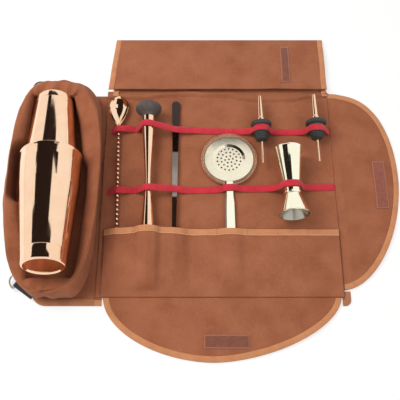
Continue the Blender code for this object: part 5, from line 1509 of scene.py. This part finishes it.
# Dark cards that only reflections see
card_nodes = new_material("dark_card")
card_nodes.tree.nodes.clear()
card_glow = card_nodes.add("Emission", Color=CARD_COLOUR)
card_nodes.join(card_glow.outputs[0], card_nodes.add("OutputMaterial").inputs[0])
for name, x0, x1, y0, y1 in (
    ("front", -0.80, 0.00, -0.30, 0.19), ("side", 0.00, 0.20, -0.30, 0.13),
    ("middle", -0.66, -0.006, 0.19, 0.40), ("rear", -0.72, 0.23, 0.40, 0.56), ("far", -0.68, 0.11, 0.56, 1.0),
    ("last", -0.68, -0.40, 1.0, 1.5),
):
    corners = [(x, y, CARD_Z) for x, y in ((x0, y0), (x1, y0), (x1, y1), (x0, y1))]
    card = stage_piece("dark_card_" + name, corners, card_nodes.owner)
    card.visible_camera = False
    card.visible_diffuse = False
    card.visible_shadow = False
    card.visible_transmission = False

floor_nodes = new_material("white_floor")
floor_nodes.finish(Base_Color=(0.93, 0.93, 0.93, 1.0), Roughness=0.9, Specular_IOR_Level=0.0)
floor_seen = floor_nodes.times(seen_directly(floor_nodes, "Is Camera Ray", "Is Glossy Ray"), 0.62)
floor_glow = floor_nodes.add("Emission", Strength=1.0)
floor_parts = floor_nodes.tree.nodes
join_mix(floor_nodes, floor_seen, floor_parts["Principled BSDF"], floor_glow, floor_parts["Material Output"])
floor_corners = [(x * FLOOR_HALF, y * FLOOR_HALF, FLOOR_Z) for x, y in ((-1, -1), (1, -1), (1, 1), (-1, 1))]
stage_piece("floor", floor_corners, floor_nodes.owner)

world = bpy.data.worlds.new("studio")
bpy.context.scene.world = world
world_nodes = Nodes(world)
world_nodes.tree.nodes.clear()
soft = world_nodes.add("Background", Color=(1.0, 0.985, 0.965, 1), Strength=0.62)
white = world_nodes.add("Background", Color=(1, 1, 1, 1), Strength=1.0)
world_seen = seen_directly(world_nodes, "Is Camera Ray", "Is Glossy Ray", "Is Transmission Ray")
join_mix(world_nodes, world_seen, soft, white, world_nodes.add("OutputWorld"))


def area_light(name, place, size, power):
    data = bpy.data.lights.new(name, "AREA")
    data.shape = "RECTANGLE"
    data.size, data.size_y = size
    data.energy = power
    light = bpy.data.objects.new(name, data)
    light.location = place
    light.rotation_euler = (-Vector(place)).to_track_quat("-Z", "Y").to_euler()
    light.visible_glossy = False
    bpy.context.scene.collection.objects.link(light)


area_light("key", (-0.9, 0.35, 1.25), (0.7, 0.9), 17.0)
area_light("fill", (0.9, -0.9, 1.4), (1.2, 1.2), 5.0)

camera_data = bpy.data.cameras.new("camera")
camera_data.sensor_width = 36
camera_data.lens = 54
camera = bpy.data.objects.new("camera", camera_data)
camera.location = (0, -0.3446, 0.8530)
camera.rotation_euler = (math.radians(22), 0, 0)
bpy.context.scene.collection.objects.link(camera)
bpy.context.scene.camera = camera
bpy.context.scene.view_settings.view_transform = "Standard"
